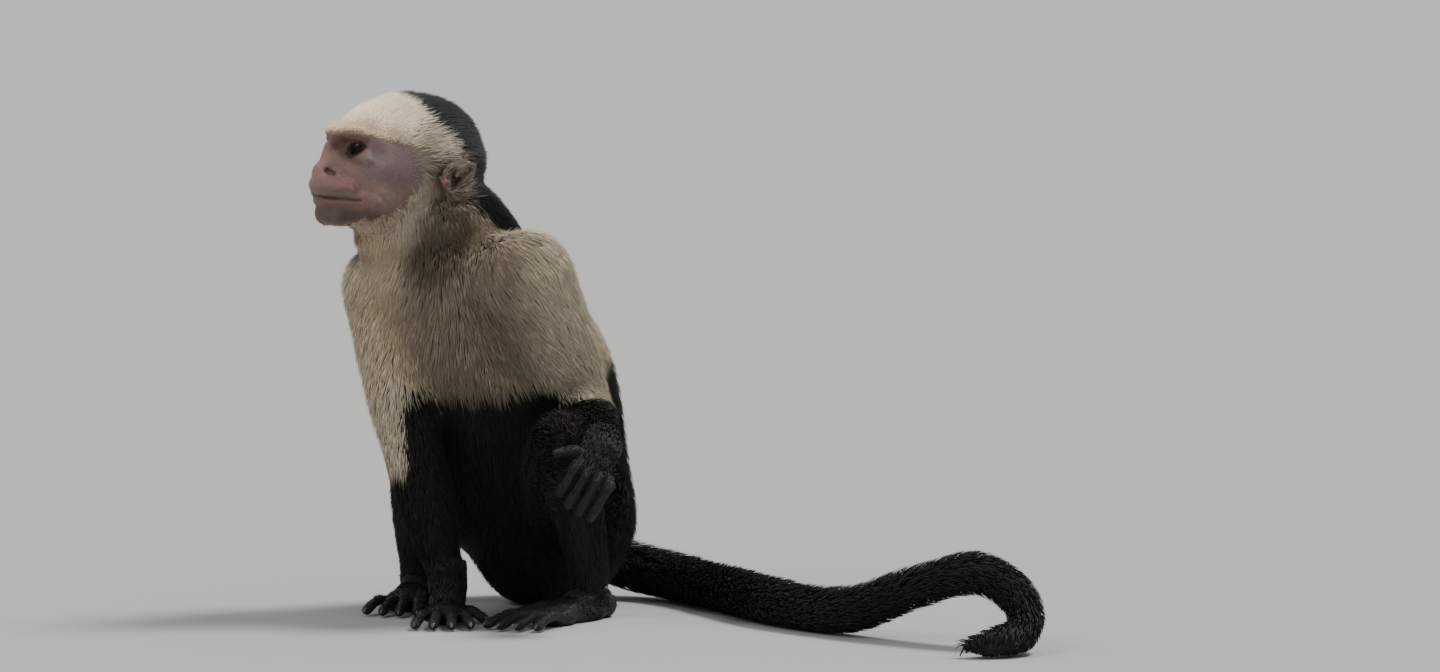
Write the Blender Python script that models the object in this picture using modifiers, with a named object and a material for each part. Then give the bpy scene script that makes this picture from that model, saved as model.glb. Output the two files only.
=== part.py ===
"""A white-faced capuchin monkey, life-size and crouched, as one closed solid for each part of its body.

Metres, +Z up. The floor is z = 0 and the origin lies on it, under the pelvis. The trunk faces -Y and its
left side is +X. The head is turned to its right. Each solid reaches out to the tips of the coat.
"""

import math

import bmesh
import bpy
import numpy as np
from mathutils import Matrix, Vector

MM = 0.001

# Spaces and grids
GAP = 0.4 * MM  # left between neighbouring parts
FINE = 1.2 * MM  # grid on which hands, feet and the head are fused
MEDIUM = 1.8 * MM  # grid for forearms and shins
COARSE = 2.5 * MM  # grid for the trunk, neck, upper arms and thighs
FLOOR_BLOCK = 1.2  # side of the block that trims the parts to the floor
RELAX = 0.3  # share by which thinned bodies are evened out

# Triangles that each body keeps before it is trimmed
BUDGET = {
    "head": 1360,
    "trunk": 700,
    "neck": 210,
    "upper_arm": 200,
    "forearm": 180,
    "thigh": 220,
    "shin": 170,
    "paw": 330,
}

# Head: its middle lies between the eyes, and sizes there are in millimetres forward, left and up
MID_EYES = Vector((-0.047, -0.146, 0.2945))
HEAD_TURN = math.radians(247)  # heading of the face, from +X
EYE_RADIUS = 8.5
EYE_SPACING = 29.0
EYE_DEPTH = 7.5  # from the mid-eye plane back to the eyeball's centre
SOCKET = ((9.0, 15.0, 0.0), (11.0, 10.5, 8.5))  # the left one; the other side mirrors each of these
HEAD_MASSES = (
    ((-48, 0, 1), (48, 37, 35)),  # cranium with its cap
    ((-66, 0, -10), (34, 33, 27)),  # back of the head
    ((-28, 0, 4), (32, 30, 26)),  # forehead
    ((-13, 0, 7), (14, 25, 12)),  # between the brows
    ((-34, 0, -8), (34, 34, 29)),  # temples and cheekbones
    ((-9, 0, -9), (16, 26, 24)),  # face
    ((2, 0, -26), (18, 19, 14)),  # muzzle
    ((-1, 0, -38), (17, 16, 12)),  # chin
    ((-48, 0, -26), (31, 33, 27)),  # ruff under the ears
    ((-26, 0, -40), (28, 22, 16)),  # throat
)
JAW = ((-19, 16, -31), (23, 14, 14))
NOSE = ((6, 0, 6, 6.0), (11, 0, -9, 6.0), (15, 0, -19, 6.5))  # from bridge to tip, each with its radius
NOSTRIL_WING = ((14, 7, -21), (6, 5, 5))
BROW = ((0, 0, 11, 6), (-2, 14, 11.5, 6), (-13, 24, 7, 5.5), (-22, 26, 0, 3))
CHEEKBONE = ((-8, 13, -16, 7), (-15, 22, -13, 7), (-24, 26, -8, 4))
EAR = ((-61, 36, -16), (12, 4.5, 15))
EAR_HOLLOW = ((-57.5, 41, -15), (9.5, 4.5, 11))
EAR_LEAN = math.radians(24)

# Joints of the skeleton
PELVIS = Vector((0.0, 0.004, 0.058))
BELLY = Vector((0.002, -0.018, 0.112))
LOWER_CHEST = Vector((0.004, -0.034, 0.148))
CHEST = Vector((-0.006, -0.063, 0.181))
UPPER_CHEST = Vector((-0.009, -0.078, 0.209))
NECK_BASE = Vector((-0.010, -0.080, 0.222))
NECK_TOP = Vector((-0.024, -0.097, 0.264))
SHOULDER = {"left": Vector((0.052, -0.090, 0.215)), "right": Vector((-0.057, -0.086, 0.208))}
ELBOW = {"left": Vector((0.060, -0.035, 0.125)), "right": Vector((-0.023, -0.108, 0.110))}
WRIST = {"left": Vector((0.124, -0.105, 0.114)), "right": Vector((0.006, -0.108, 0.022))}
HIP = {"left": Vector((0.030, -0.003, 0.050)), "right": Vector((-0.030, -0.002, 0.050))}
KNEE = {"left": Vector((0.080, -0.085, 0.116)), "right": Vector((-0.046, -0.072, 0.114))}
ANKLE = {"left": Vector((0.074, -0.048, 0.019)), "right": Vector((-0.072, -0.040, 0.019))}

# Trunk and neck: the coat's radius at each station
SPINE = ((PELVIS, 0.058), (BELLY, 0.063), (LOWER_CHEST, 0.0645), (CHEST, 0.061), (UPPER_CHEST, 0.054))
RUMP_RADII = (0.060, 0.058, 0.063)
RIBCAGE_RADII = (0.059, 0.053, 0.044)
BREAST = (UPPER_CHEST + Vector((-0.006, -0.014, 0.010)), (0.054, 0.040, 0.034))
SHOULDER_ROOT = (0.040, 0.030)  # radii from the chest out to a shoulder
NECK_RADII = (0.046, 0.048, 0.042)
NAPE = (Vector((0.010, 0.012, -0.012)), (0.047, 0.046, 0.036))  # offset from the neck's middle, and radii
THROAT = (Vector((-0.016, -0.020, -0.004)), (0.036, 0.031, 0.026))

# Limbs: (share of the way along the bone, radius)
SHOULDER_RADII = (0.034, 0.035, 0.034)
UPPER_ARM = ((0.0, 0.033), (0.4, 0.0305), (0.75, 0.0265), (1.0, 0.0225))
FOREARM = ((0.0, 0.0215), (0.3, 0.0215), (0.7, 0.0165), (1.0, 0.0125))
THIGH = ((0.0, 0.036), (0.35, 0.040), (0.75, 0.033), (1.0, 0.0235))
SHIN = ((0.05, 0.020), (0.35, 0.0215), (0.75, 0.0165), (1.0, 0.0135))
ELBOW_RADIUS = 0.0225
KNEE_RADIUS = 0.024

# Hands and feet
FIST = Vector((0.121, -0.120, 0.095))  # middle of the closed left hand
FIST_ACROSS = Vector((0.68, 0.476, -0.56)).normalized()  # from its first finger to its last
FIST_DOWN = Vector((-0.41, -0.287, -0.85)).normalized()  # from its knuckles to its fingertips
FIST_BENDS = ((-13, 5, 1.12), (9, 9, 1.0), (17, 1, 1.0), (8, -8, 0.85))  # mm down, mm out, share of radius
FINGER_RADIUS = 3.6 * MM
FINGER_PITCH = 7.2 * MM
HAND_HEADING = math.radians(-55)  # of the right hand's fingers
FOOT_HEADING = {"left": math.radians(-88), "right": math.radians(-63)}
SOLE_LENGTH = 70.0 * MM
TOE_LENGTH = 40.0 * MM

# Tail: the middle of its path from the root to the tip, with the coat's radius there
TAIL_PATH = (
    (Vector((-0.004, 0.036, 0.036)), 0.0190),
    (Vector((0.024, 0.062, 0.022)), 0.0180),
    (Vector((0.072, 0.055, 0.0165)), 0.0170),
    (Vector((0.130, 0.022, 0.0160)), 0.0165),
    (Vector((0.195, -0.017, 0.0155)), 0.0160),
    (Vector((0.258, -0.036, 0.0165)), 0.0155),
    (Vector((0.308, -0.038, 0.0330)), 0.0150),
    (Vector((0.350, -0.038, 0.0445)), 0.0145),
    (Vector((0.380, -0.040, 0.0330)), 0.0135),
    (Vector((0.394, -0.052, 0.0150)), 0.0125),
    (Vector((0.390, -0.078, 0.0105)), 0.0110),
    (Vector((0.372, -0.092, 0.0080)), 0.0070),
)
TAIL_LENGTHS = ("tail_root", "tail_middle", "tail_far", "tail_tip")
TAIL_STEPS = 36  # rings along the whole tail
TAIL_SIDES = 3  # bevel resolution, which gives ten sides

UP = Vector((0.0, 0.0, 1.0))
SIDES = {"left": 1, "right": -1}

# Colour, roughness of each finish
FINISHES = {
    "fur_cream": ((0.72, 0.62, 0.45), 0.85),
    "fur_black": ((0.020, 0.017, 0.015), 0.80),
    "face_skin": ((0.47, 0.31, 0.27), 0.55),
    "paw_skin": ((0.060, 0.050, 0.050), 0.60),
    "eye": ((0.035, 0.018, 0.010), 0.08),
}

parts = bpy.data.collections.new("capuchin_monkey")
workshop = bpy.data.collections.new("cutters")
cutters = []  # swollen bodies of the parts so far, which trim those that follow


def clear_scene():
    """Removes what the startup file holds."""
    for thing in list(bpy.data.objects):
        bpy.data.objects.remove(thing, do_unlink=True)


def finish(name):
    """The Principled material of one finish."""
    if name in bpy.data.materials:
        return bpy.data.materials[name]
    colour, roughness = FINISHES[name]
    material = bpy.data.materials.new(name)
    material.use_nodes = True
    shader = material.node_tree.nodes["Principled BSDF"]
    shader.inputs["Base Color"].default_value = (*colour, 1.0)
    shader.inputs["Roughness"].default_value = roughness
    shader.inputs["Metallic"].default_value = 0.0
    return material


def work_object(name, mesh):
    """A helper object, left out of the model."""
    obj = bpy.data.objects.new(name, mesh)
    obj.hide_render = True
    obj.display_type = "WIRE"
    workshop.objects.link(obj)
    return obj


def evaluated_mesh(obj):
    """A new mesh of the object with its modifiers, or its bevel, worked out."""
    bpy.context.view_layer.update()
    graph = bpy.context.evaluated_depsgraph_get()
    return bpy.data.meshes.new_from_object(obj.evaluated_get(graph))


def ball(centre, radii, axes=None, segments=40):
    """A sphere stretched to three radii along its axes, as a mesh."""
    bm = bmesh.new()
    bmesh.ops.create_uvsphere(bm, u_segments=segments, v_segments=segments // 2, radius=1.0)
    stretch = Matrix.Diagonal(Vector(radii).to_4d())
    turn = (axes or Matrix.Identity(3)).to_4x4()
    bmesh.ops.transform(bm, matrix=Matrix.Translation(centre) @ turn @ stretch, verts=bm.verts)
    mesh = bpy.data.meshes.new("ball")
    bm.to_mesh(mesh)
    bm.free()
    return mesh


def tube(stations, kind="BEZIER", sides=4, steps=6):
    """A round tube through stations of (point, radius), with closed ends, as a mesh."""
    curve = bpy.data.curves.new("tube", "CURVE")
    curve.dimensions = "3D"
    curve.bevel_depth = 1.0
    curve.bevel_resolution = sides
    curve.resolution_u = steps
    curve.use_fill_caps = True
    spline = curve.splines.new(kind)
    points = spline.bezier_points if kind == "BEZIER" else spline.points
    points.add(len(stations) - 1)
    for point, (place, radius) in zip(points, stations):
        point.co = place if kind == "BEZIER" else place.to_4d()
        point.radius = radius
        if kind == "BEZIER":
            point.handle_left_type = "AUTO"
            point.handle_right_type = "AUTO"
    obj = work_object("tube", curve)
    mesh = evaluated_mesh(obj)
    bpy.data.objects.remove(obj)
    bm = bmesh.new()
    bm.from_mesh(mesh)
    bmesh.ops.remove_doubles(bm, verts=bm.verts, dist=0.01 * MM)
    bmesh.ops.recalc_face_normals(bm, faces=bm.faces)
    bm.to_mesh(mesh)
    bm.free()
    return mesh


def joined(meshes):
    """One mesh that holds them all."""
    bm = bmesh.new()
    for mesh in meshes:
        bm.from_mesh(mesh)
    together = bpy.data.meshes.new("joined")
    bm.to_mesh(together)
    bm.free()
    return together


def with_modifiers(mesh, *modifiers):
    """The mesh after the modifiers, each given as its type and a dict of its settings."""
    obj = work_object("shaping", mesh)
    for kind, settings in modifiers:
        modifier = obj.modifiers.new(kind.title(), kind)
        for setting, value in settings.items():
            setattr(modifier, setting, value)
    shaped = evaluated_mesh(obj)
    bpy.data.objects.remove(obj)
    return shaped


def melted(meshes, grid, smoothing):
    """The meshes run together into one smooth body."""
    return with_modifiers(
        joined(meshes),
        ("REMESH", {"mode": "VOXEL", "voxel_size": grid, "adaptivity": 0.0}),
        ("SMOOTH", {"factor": 0.5, "iterations": smoothing}),
    )


def fused(meshes, grid, smoothing, triangles):
    """The meshes run together into one smooth body of about so many triangles."""
    body = with_modifiers(melted(meshes, grid, smoothing), ("TRIANGULATE", {}))
    ratio = triangles / len(body.polygons)
    thinned = ("DECIMATE", {"ratio": ratio})
    return with_modifiers(body, thinned, ("SMOOTH", {"factor": RELAX, "iterations": 1}))


def carved(mesh, *cutters):
    """The mesh with each cutter's space taken out of it."""
    for cutter in cutters:
        tool = work_object("cutter", cutter)
        settings = {"operation": "DIFFERENCE", "solver": "EXACT", "object": tool}
        mesh = with_modifiers(mesh, ("BOOLEAN", settings))
        bpy.data.objects.remove(tool)
    return mesh


def grown(mesh, distance):
    """The mesh swollen by a distance."""
    return with_modifiers(mesh, ("DISPLACE", {"strength": distance, "mid_level": 0.0}))


def under_floor():
    """The block below the floor."""
    bm = bmesh.new()
    bmesh.ops.create_cube(bm, size=FLOOR_BLOCK)
    bmesh.ops.translate(bm, vec=-UP * FLOOR_BLOCK / 2, verts=bm.verts)
    mesh = bpy.data.meshes.new("floor")
    bm.to_mesh(mesh)
    bm.free()
    return mesh


def box_of(mesh):
    """The mesh's lowest and highest corners."""
    points = np.empty(len(mesh.vertices) * 3)
    mesh.vertices.foreach_get("co", points)
    points = points.reshape(-1, 3)
    return points.min(axis=0), points.max(axis=0)


def boxes_meet(first, second):
    """Whether two meshes' boxes overlap."""
    (low, high), (other_low, other_high) = box_of(first), box_of(second)
    return bool((low < other_high).all() and (other_low < high).all())


def largest_piece(mesh):
    """The mesh without the crumbs that a cut may leave beside its body."""
    bm = bmesh.new()
    bm.from_mesh(mesh)
    bmesh.ops.remove_doubles(bm, verts=bm.verts, dist=0.02 * MM)
    left = set(bm.verts)
    bodies = []
    while left:
        reached = {left.pop()}
        waiting = list(reached)
        while waiting:
            vertex = waiting.pop()
            for edge in vertex.link_edges:
                other = edge.other_vert(vertex)
                if other in left:
                    left.remove(other)
                    reached.add(other)
                    waiting.append(other)
        bodies.append(reached)
    bodies.sort(key=len)
    crumbs = [vertex for body in bodies[:-1] for vertex in body]
    bmesh.ops.delete(bm, geom=crumbs, context="VERTS")
    bm.to_mesh(mesh)
    bm.free()
    return mesh


def add_part(name, body, slot, hollows=()):
    """Trims a body to the floor, the parts before it and its hollows, and places it in the model."""
    mesh = carved(body, *hollows)
    if box_of(mesh)[0][2] < 0:
        mesh = carved(mesh, under_floor())
    mesh = carved(mesh, *[cutter for cutter in cutters if boxes_meet(mesh, cutter)])
    mesh = largest_piece(mesh)
    mesh.name = name
    mesh.materials.clear()
    mesh.materials.append(finish(slot))
    obj = bpy.data.objects.new(name, mesh)
    parts.objects.link(obj)
    mesh.shade_smooth()
    mesh.set_sharp_from_angle(angle=math.radians(50))
    cutters.append(grown(body, GAP))


def heading(angle):
    """A level frame whose first axis points that way, as a 3x3 matrix of columns forward, left and up."""
    forward = Vector((math.cos(angle), math.sin(angle), 0.0))
    left = Vector((-math.sin(angle), math.cos(angle), 0.0))
    return Matrix((forward, left, UP)).transposed()


HEAD = heading(HEAD_TURN)


def in_head(forward, left, up):
    """A place in the head, from millimetres forward, left and up of the middle of the eyes."""
    return MID_EYES + HEAD @ Vector((forward, left, up)) * MM


def head_ball(place, radii, side=1, segments=40):
    """A ball in the head, from its place and radii in millimetres forward, left and up."""
    forward, left, up = place
    return ball(in_head(forward, side * left, up), Vector(radii) * MM, HEAD, segments)


def head_tube(stations, side=1):
    """A tube in the head through stations of (forward, left, up, radius) in millimetres."""
    return tube([(in_head(forward, side * left, up), radius * MM) for forward, left, up, radius in stations])


def build_eyes():
    """The two eyeballs."""
    place = (-EYE_DEPTH, EYE_SPACING / 2, 0.0)
    for side, sign in SIDES.items():
        add_part(f"eye_{side}", head_ball(place, (EYE_RADIUS,) * 3, sign, 14), "eye")


def build_head():
    """Skull and cap, brow, muzzle, nose, jaw, cheeks and throat in one body, with sockets for the eyes."""
    masses = [head_ball(*mass) for mass in HEAD_MASSES]
    masses += [head_ball(*JAW, sign) for sign in SIDES.values()]
    features = [melted(masses, FINE, 40), head_tube(NOSE)]
    for sign in SIDES.values():
        features += [head_ball(*NOSTRIL_WING, sign), head_tube(BROW, sign), head_tube(CHEEKBONE, sign)]
    skull = fused(features, FINE, 20, BUDGET["head"])
    add_part("head", skull, "fur_cream", [head_ball(*SOCKET, sign, 16) for sign in SIDES.values()])


def build_ears():
    """The two ears, cupped and set close to the head."""
    for side, sign in SIDES.items():
        lean = HEAD @ Matrix.Rotation(sign * EAR_LEAN, 3, "Z")
        flap, hollow = (
            ball(in_head(forward, sign * left, up), Vector(radii) * MM, lean, 14)
            for (forward, left, up), radii in (EAR, EAR_HOLLOW)
        )
        add_part(f"ear_{side}", flap, "face_skin", [hollow])


def along(start, end, share):
    """The point a share of the way from start to end."""
    return start + (end - start) * share


def limb(start, end, stations):
    """A tube from start to end through stations of (share of the way, radius)."""
    return tube([(along(start, end, share), radius) for share, radius in stations])


def build_trunk():
    """Pelvis, belly, chest and back in one body."""
    pieces = [tube(SPINE), ball(PELVIS, RUMP_RADII), ball(UPPER_CHEST, RIBCAGE_RADII), ball(*BREAST)]
    inner, outer = SHOULDER_ROOT
    for side in SIDES:
        pieces.append(limb(CHEST, SHOULDER[side], ((0.0, inner), (0.8, outer))))
    add_part("trunk", fused(pieces, COARSE, 60, BUDGET["trunk"]), "fur_black")


def build_neck():
    """The neck, from the shoulders to the back of the head."""
    middle = along(NECK_BASE, NECK_TOP, 0.5)
    pieces = [tube(tuple(zip((NECK_BASE, middle, NECK_TOP), NECK_RADII)))]
    pieces += [ball(middle + offset, radii) for offset, radii in (NAPE, THROAT)]
    add_part("neck", fused(pieces, COARSE, 40, BUDGET["neck"]), "fur_cream")


def build_arm(side):
    """Upper arm with the shoulder, and forearm."""
    shoulder, elbow, wrist = SHOULDER[side], ELBOW[side], WRIST[side]
    upper = [
        ball(shoulder, SHOULDER_RADII),
        limb(shoulder, elbow, UPPER_ARM),
        ball(elbow, (ELBOW_RADIUS,) * 3),
    ]
    add_part(f"upper_arm_{side}", fused(upper, COARSE, 36, BUDGET["upper_arm"]), "fur_cream")
    lower = [limb(elbow, wrist, FOREARM)]
    add_part(f"forearm_{side}", fused(lower, MEDIUM, 24, BUDGET["forearm"]), "fur_black")


def build_leg(side):
    """Thigh and shin."""
    hip, knee, ankle = HIP[side], KNEE[side], ANKLE[side]
    thigh = [limb(hip, knee, THIGH), ball(knee, (KNEE_RADIUS,) * 3)]
    add_part(f"thigh_{side}", fused(thigh, COARSE, 30, BUDGET["thigh"]), "fur_black")
    shin = [limb(knee, ankle, SHIN)]
    add_part(f"shin_{side}", fused(shin, MEDIUM, 24, BUDGET["shin"]), "fur_black")


def digit(root, tip, radius, rise):
    """A finger or toe that arches up from its root and comes down on its tip."""
    knuckle = along(root, tip, 0.45) + UP * rise
    last = along(root, tip, 0.8) + UP * rise * 0.45
    return tube(((root, radius), (knuckle, radius), (last, radius * 0.92), (tip, radius * 0.72)))


def build_fist():
    """The left hand, closed, with its knuckles up and out and its fingertips tucked under."""
    out = FIST_DOWN.cross(FIST_ACROSS).normalized()  # away from the palm
    wrist = WRIST["left"]

    def place(across, down, outward):
        return FIST + (FIST_ACROSS * across + FIST_DOWN * down + out * outward) * MM

    pieces = [
        ball(along(wrist, FIST, 0.55) + out * MM, (0.0135, 0.0125, 0.0125)),  # back of the hand
        ball(FIST, (0.0125, 0.0115, 0.0125)),  # palm
        limb(wrist, FIST, ((0.0, 0.0120), (0.6, 0.0125))),
    ]
    for index in range(4):
        across = (index - 1.5) * FINGER_PITCH / MM
        length = 1.0 - 0.07 * abs(index - 1.2)  # the second finger is the longest
        bends = [
            (place(across, down * length, outward), FINGER_RADIUS * share)
            for down, outward, share in FIST_BENDS
        ]
        metacarpal = ((along(wrist, FIST, 0.45), 0.006), (bends[0][0], FINGER_RADIUS * 1.15))
        pieces += [tube(bends), tube(metacarpal)]
    thumb = (
        (along(wrist, FIST, 0.5), 0.006),
        (place(-13, -10, -3), FINGER_RADIUS * 1.15),
        (place(-20, -3, 6), FINGER_RADIUS * 0.85),
    )
    pieces.append(tube(thumb))
    add_part("hand_left", fused(pieces, FINE, 4, BUDGET["paw"]), "paw_skin")


def build_open_hand():
    """The right hand, flat on the floor, with its fingers forward and its thumb out to the side."""
    frame = heading(HAND_HEADING)
    wrist = WRIST["right"]
    start = Vector((wrist.x, wrist.y, 0.0))

    def place(forward, left, up):
        return start + frame @ Vector((forward, left, up)) * MM

    pieces = [
        tube(((wrist, 0.0120), (place(6, 0, 13), 0.0115), (place(16, 0, 9), 0.0095))),
        ball(place(18, 0, 6.5), Vector((17, 13.5, 7.5)) * MM, frame),
    ]
    for index in range(4):
        left = (index - 1.5) * FINGER_PITCH / MM
        length = 36 - 3.0 * abs(index - 1.6)
        root = place(28 - 0.8 * abs(index - 1.5), left * 0.95, 5.0)
        tip = place(29 + length, left * 1.6, 1.6)
        pieces.append(digit(root, tip, FINGER_RADIUS, 3.5 * MM))
    # The palm faces down, so the right hand's thumb lies on its left
    pieces.append(digit(place(8, 9, 6), place(27, 25, 1.8), FINGER_RADIUS * 1.05, 2.5 * MM))
    add_part("hand_right", fused(pieces, FINE, 4, BUDGET["paw"]), "paw_skin")


def build_foot(side):
    """A foot flat on the floor, with four long toes forward and the great toe set apart like a thumb."""
    frame = heading(FOOT_HEADING[side])
    inner = -SIDES[side]  # towards the other foot, along the frame's left axis
    ankle = ANKLE[side]
    heel = Vector((ankle.x, ankle.y, 0.0)) - frame @ Vector((14, 0, 0)) * MM

    def place(forward, inward, up):
        return heel + frame @ Vector((forward, inner * inward, up)) * MM

    sole = SOLE_LENGTH / MM
    pieces = [
        ball(place(6, 0, 8), Vector((13, 11, 10)) * MM, frame),
        tube(((ankle, 0.0130), (place(16, 0, 13), 0.0120), (place(36, 0, 9), 0.0095))),
        ball(place(sole * 0.45, 0, 5.5), Vector((34, 12.5, 8.5)) * MM, frame),
        ball(place(sole * 0.80, 0, 4.5), Vector((17, 14.5, 7.0)) * MM, frame),
    ]
    for index in range(4):
        inward = (1.5 - index) * FINGER_PITCH / MM
        length = TOE_LENGTH / MM - 3.2 * abs(index - 1.3)
        root = place(sole - 4 - 1.5 * index, inward * 0.95, 4.5)
        tip = place(sole - 1 + length - 1.5 * index, inward * 1.6, 1.6)
        pieces.append(digit(root, tip, FINGER_RADIUS, 4.5 * MM))
    pieces.append(digit(place(27, 8, 6), place(56, 31, 1.8), FINGER_RADIUS * 1.25, 3.5 * MM))
    add_part(f"foot_{side}", fused(pieces, FINE, 4, BUDGET["paw"]), "paw_skin")


def smooth_path(stations, count):
    """Evenly spaced (point, radius) stations on one smooth curve through the given ones."""
    places = np.array([place for place, _ in stations])
    radii = np.array([radius for _, radius in stations])
    known = np.column_stack([places, radii])
    ends = np.vstack([2 * known[0] - known[1], known, 2 * known[-1] - known[-2]])
    dense = []
    for index in range(len(known) - 1):
        before, start, end, after = ends[index : index + 4]
        for t in np.linspace(0.0, 1.0, 40, endpoint=False):
            slope_in = (end - before) / 2
            slope_out = (after - start) / 2
            dense.append(
                start * (2 * t**3 - 3 * t**2 + 1)
                + slope_in * (t**3 - 2 * t**2 + t)
                + end * (3 * t**2 - 2 * t**3)
                + slope_out * (t**3 - t**2)
            )
    dense.append(known[-1])
    dense = np.array(dense)
    walked = np.concatenate([[0.0], np.cumsum(np.linalg.norm(np.diff(dense[:, :3], axis=0), axis=1))])
    wanted = np.linspace(0.0, walked[-1], count)
    even = np.column_stack([np.interp(wanted, walked, column) for column in dense.T])
    return [(Vector(row[:3]), float(row[3])) for row in even]


def build_tail():
    """The tail in a few lengths, which meet end to end."""
    rings = smooth_path(TAIL_PATH, TAIL_STEPS)
    share = (len(rings) - 1) / len(TAIL_LENGTHS)
    for index, name in enumerate(TAIL_LENGTHS):
        first, last = round(index * share), round((index + 1) * share)
        stations = rings[first : last + 1]
        if index:
            step = (stations[1][0] - stations[0][0]).normalized()
            stations[0] = (stations[0][0] + step * GAP, stations[0][1])
        if name == "tail_tip":
            end, radius = stations[-1]
            step = (end - stations[-2][0]).normalized()
            stations[-1] = (end + step * radius * 0.35, radius * 0.45)
        mesh = with_modifiers(tube(stations, "POLY", TAIL_SIDES), ("TRIANGULATE", {}))
        add_part(name, mesh, "fur_black")


def build():
    """The whole animal. Each part trims those that are made after it."""
    clear_scene()
    bpy.context.scene.collection.children.link(parts)
    bpy.context.scene.collection.children.link(workshop)
    build_eyes()
    build_head()
    build_ears()
    build_trunk()
    build_neck()
    for side in SIDES:
        build_arm(side)
    for side in SIDES:
        build_leg(side)
    build_fist()
    build_open_hand()
    for side in SIDES:
        build_foot(side)
    build_tail()


build()
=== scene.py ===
"""Dresses a crouched white-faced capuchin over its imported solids: skin, face, eyes, ears, nails and coat.

Everything is in metres, in the solids' own frame. Places in the head are in millimetres forward, left and
up of the middle of the eyes.
"""

import logging
import math
from contextlib import contextmanager
from dataclasses import dataclass, field
from enum import Enum
from typing import Iterable, Iterator, Optional, Sequence, Union

import bpy
import numpy as np
from mathutils import Matrix, Vector
from mathutils.kdtree import KDTree


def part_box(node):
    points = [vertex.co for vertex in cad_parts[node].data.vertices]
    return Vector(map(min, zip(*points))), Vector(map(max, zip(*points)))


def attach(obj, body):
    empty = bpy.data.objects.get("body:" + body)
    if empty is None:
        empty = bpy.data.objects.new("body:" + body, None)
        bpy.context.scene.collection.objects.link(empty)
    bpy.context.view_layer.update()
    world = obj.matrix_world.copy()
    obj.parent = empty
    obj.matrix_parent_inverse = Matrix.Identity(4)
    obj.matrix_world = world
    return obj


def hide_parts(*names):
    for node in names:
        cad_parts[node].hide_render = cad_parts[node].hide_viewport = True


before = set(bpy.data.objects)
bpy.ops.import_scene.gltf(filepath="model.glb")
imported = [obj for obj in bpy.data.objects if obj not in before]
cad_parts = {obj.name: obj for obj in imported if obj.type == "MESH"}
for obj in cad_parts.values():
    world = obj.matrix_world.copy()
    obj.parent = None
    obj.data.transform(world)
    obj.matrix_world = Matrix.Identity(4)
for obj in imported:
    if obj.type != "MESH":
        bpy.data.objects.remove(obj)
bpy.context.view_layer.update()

MM = 0.001
UP = Vector((0.0, 0.0, 1.0))
SEED = 20
BODY = "root"
SIDES = {"left": 1.0, "right": -1.0}
LIMBS = ("upper_arm", "forearm", "thigh", "shin")
TAIL = ("tail_root", "tail_middle", "tail_far", "tail_tip")
PAWS = ("hand_left", "hand_right", "foot_left", "foot_right")
BAKE_MAP = "OFBake"  # the coat's map of roots
TONE = "tone"  # the colour attribute of skin and coat

Array = np.ndarray
Object = bpy.types.Object
Material = bpy.types.Material
Place = tuple[float, float, float]
Colour = tuple[float, float, float]
Entry = Union[float, Sequence[float], "Sock", bpy.types.NodeSocket]

log = logging.getLogger("capuchin")


class Slot(Enum):
    """The record's slots for finishes."""

    SKIN = "face_skin"
    EYE = "eye"
    NAIL = "paw_skin"
    LIGHT_FUR = "fur_cream"
    BLACK_FUR = "fur_black"


class Items(Enum):
    """What can be selected in edit mode, by the name of the mesh's list."""

    VERT = "vertices"
    FACE = "polygons"


# ---------------- numbers over arrays


def ramp(value: Array, start: float, end: float) -> Array:
    """A smooth rise from 0 at start to 1 at end.

    Args:
        value: The numbers to look up.
        start: Where the rise begins.
        end: Where it ends. It may be below start, for a fall.

    Returns:
        A number from 0 to 1 for each value.
    """
    share = np.clip((value - start) / (end - start), 0.0, 1.0)
    return share * share * (3.0 - 2.0 * share)


def lengths(vectors: Array) -> Array:
    """The length of each row."""
    return np.linalg.norm(vectors, axis=1)


def unit(vectors: Array) -> Array:
    """Each row at length 1."""
    return vectors / np.maximum(np.linalg.norm(vectors, axis=-1, keepdims=True), 1e-12)


def flattened(vectors: Array, normals: Array) -> Array:
    """Each row laid in the plane of its normal, at length 1."""
    return unit(vectors - normals * (vectors * normals).sum(axis=1, keepdims=True))


def blended(first: Array, second: Array, share: Array) -> Array:
    """Rows of first turning into rows of second by a share for each row."""
    return first + (second - first) * share[:, None]


def line_distance(points: Array, line: Sequence[Place]) -> Array:
    """How far each point is from a line of straight stretches.

    Args:
        points: Rows of three coordinates.
        line: The corners of the line.

    Returns:
        One distance for each point.
    """
    corners = np.array(line, float)
    best = np.full(len(points), np.inf)
    for start, end in zip(corners[:-1], corners[1:]):
        along = end - start
        share = np.clip((points - start) @ along / (along @ along), 0.0, 1.0)
        best = np.minimum(best, lengths(points - start - share[:, None] * along))
    return best


def spots(points: Array, size: float, seed: int) -> Array:
    """Smooth noise over space, made of a few waves that run in random directions.

    Args:
        points: Rows of three coordinates, in metres.
        size: The width of a spot, in metres.
        seed: Which pattern.

    Returns:
        A number from about -1 to 1 for each point.
    """
    rng = np.random.default_rng(seed)
    waves = unit(rng.normal(size=(9, 3))) * (math.pi / size) * rng.uniform(0.6, 1.5, (9, 1))
    return np.sin(points @ waves.T + rng.uniform(0.0, math.tau, 9)).sum(axis=1) / 3.0


def scattered(rng: np.random.Generator, count: int) -> tuple[Array, Array]:
    """Picks random places inside triangles.

    Args:
        rng: Where the random numbers come from.
        count: How many places.

    Returns:
        The shares of each triangle's second and third corner.
    """
    first, second = rng.random(count), rng.random(count)
    over = first + second > 1.0
    first[over], second[over] = 1.0 - first[over], 1.0 - second[over]
    return first, second


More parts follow.
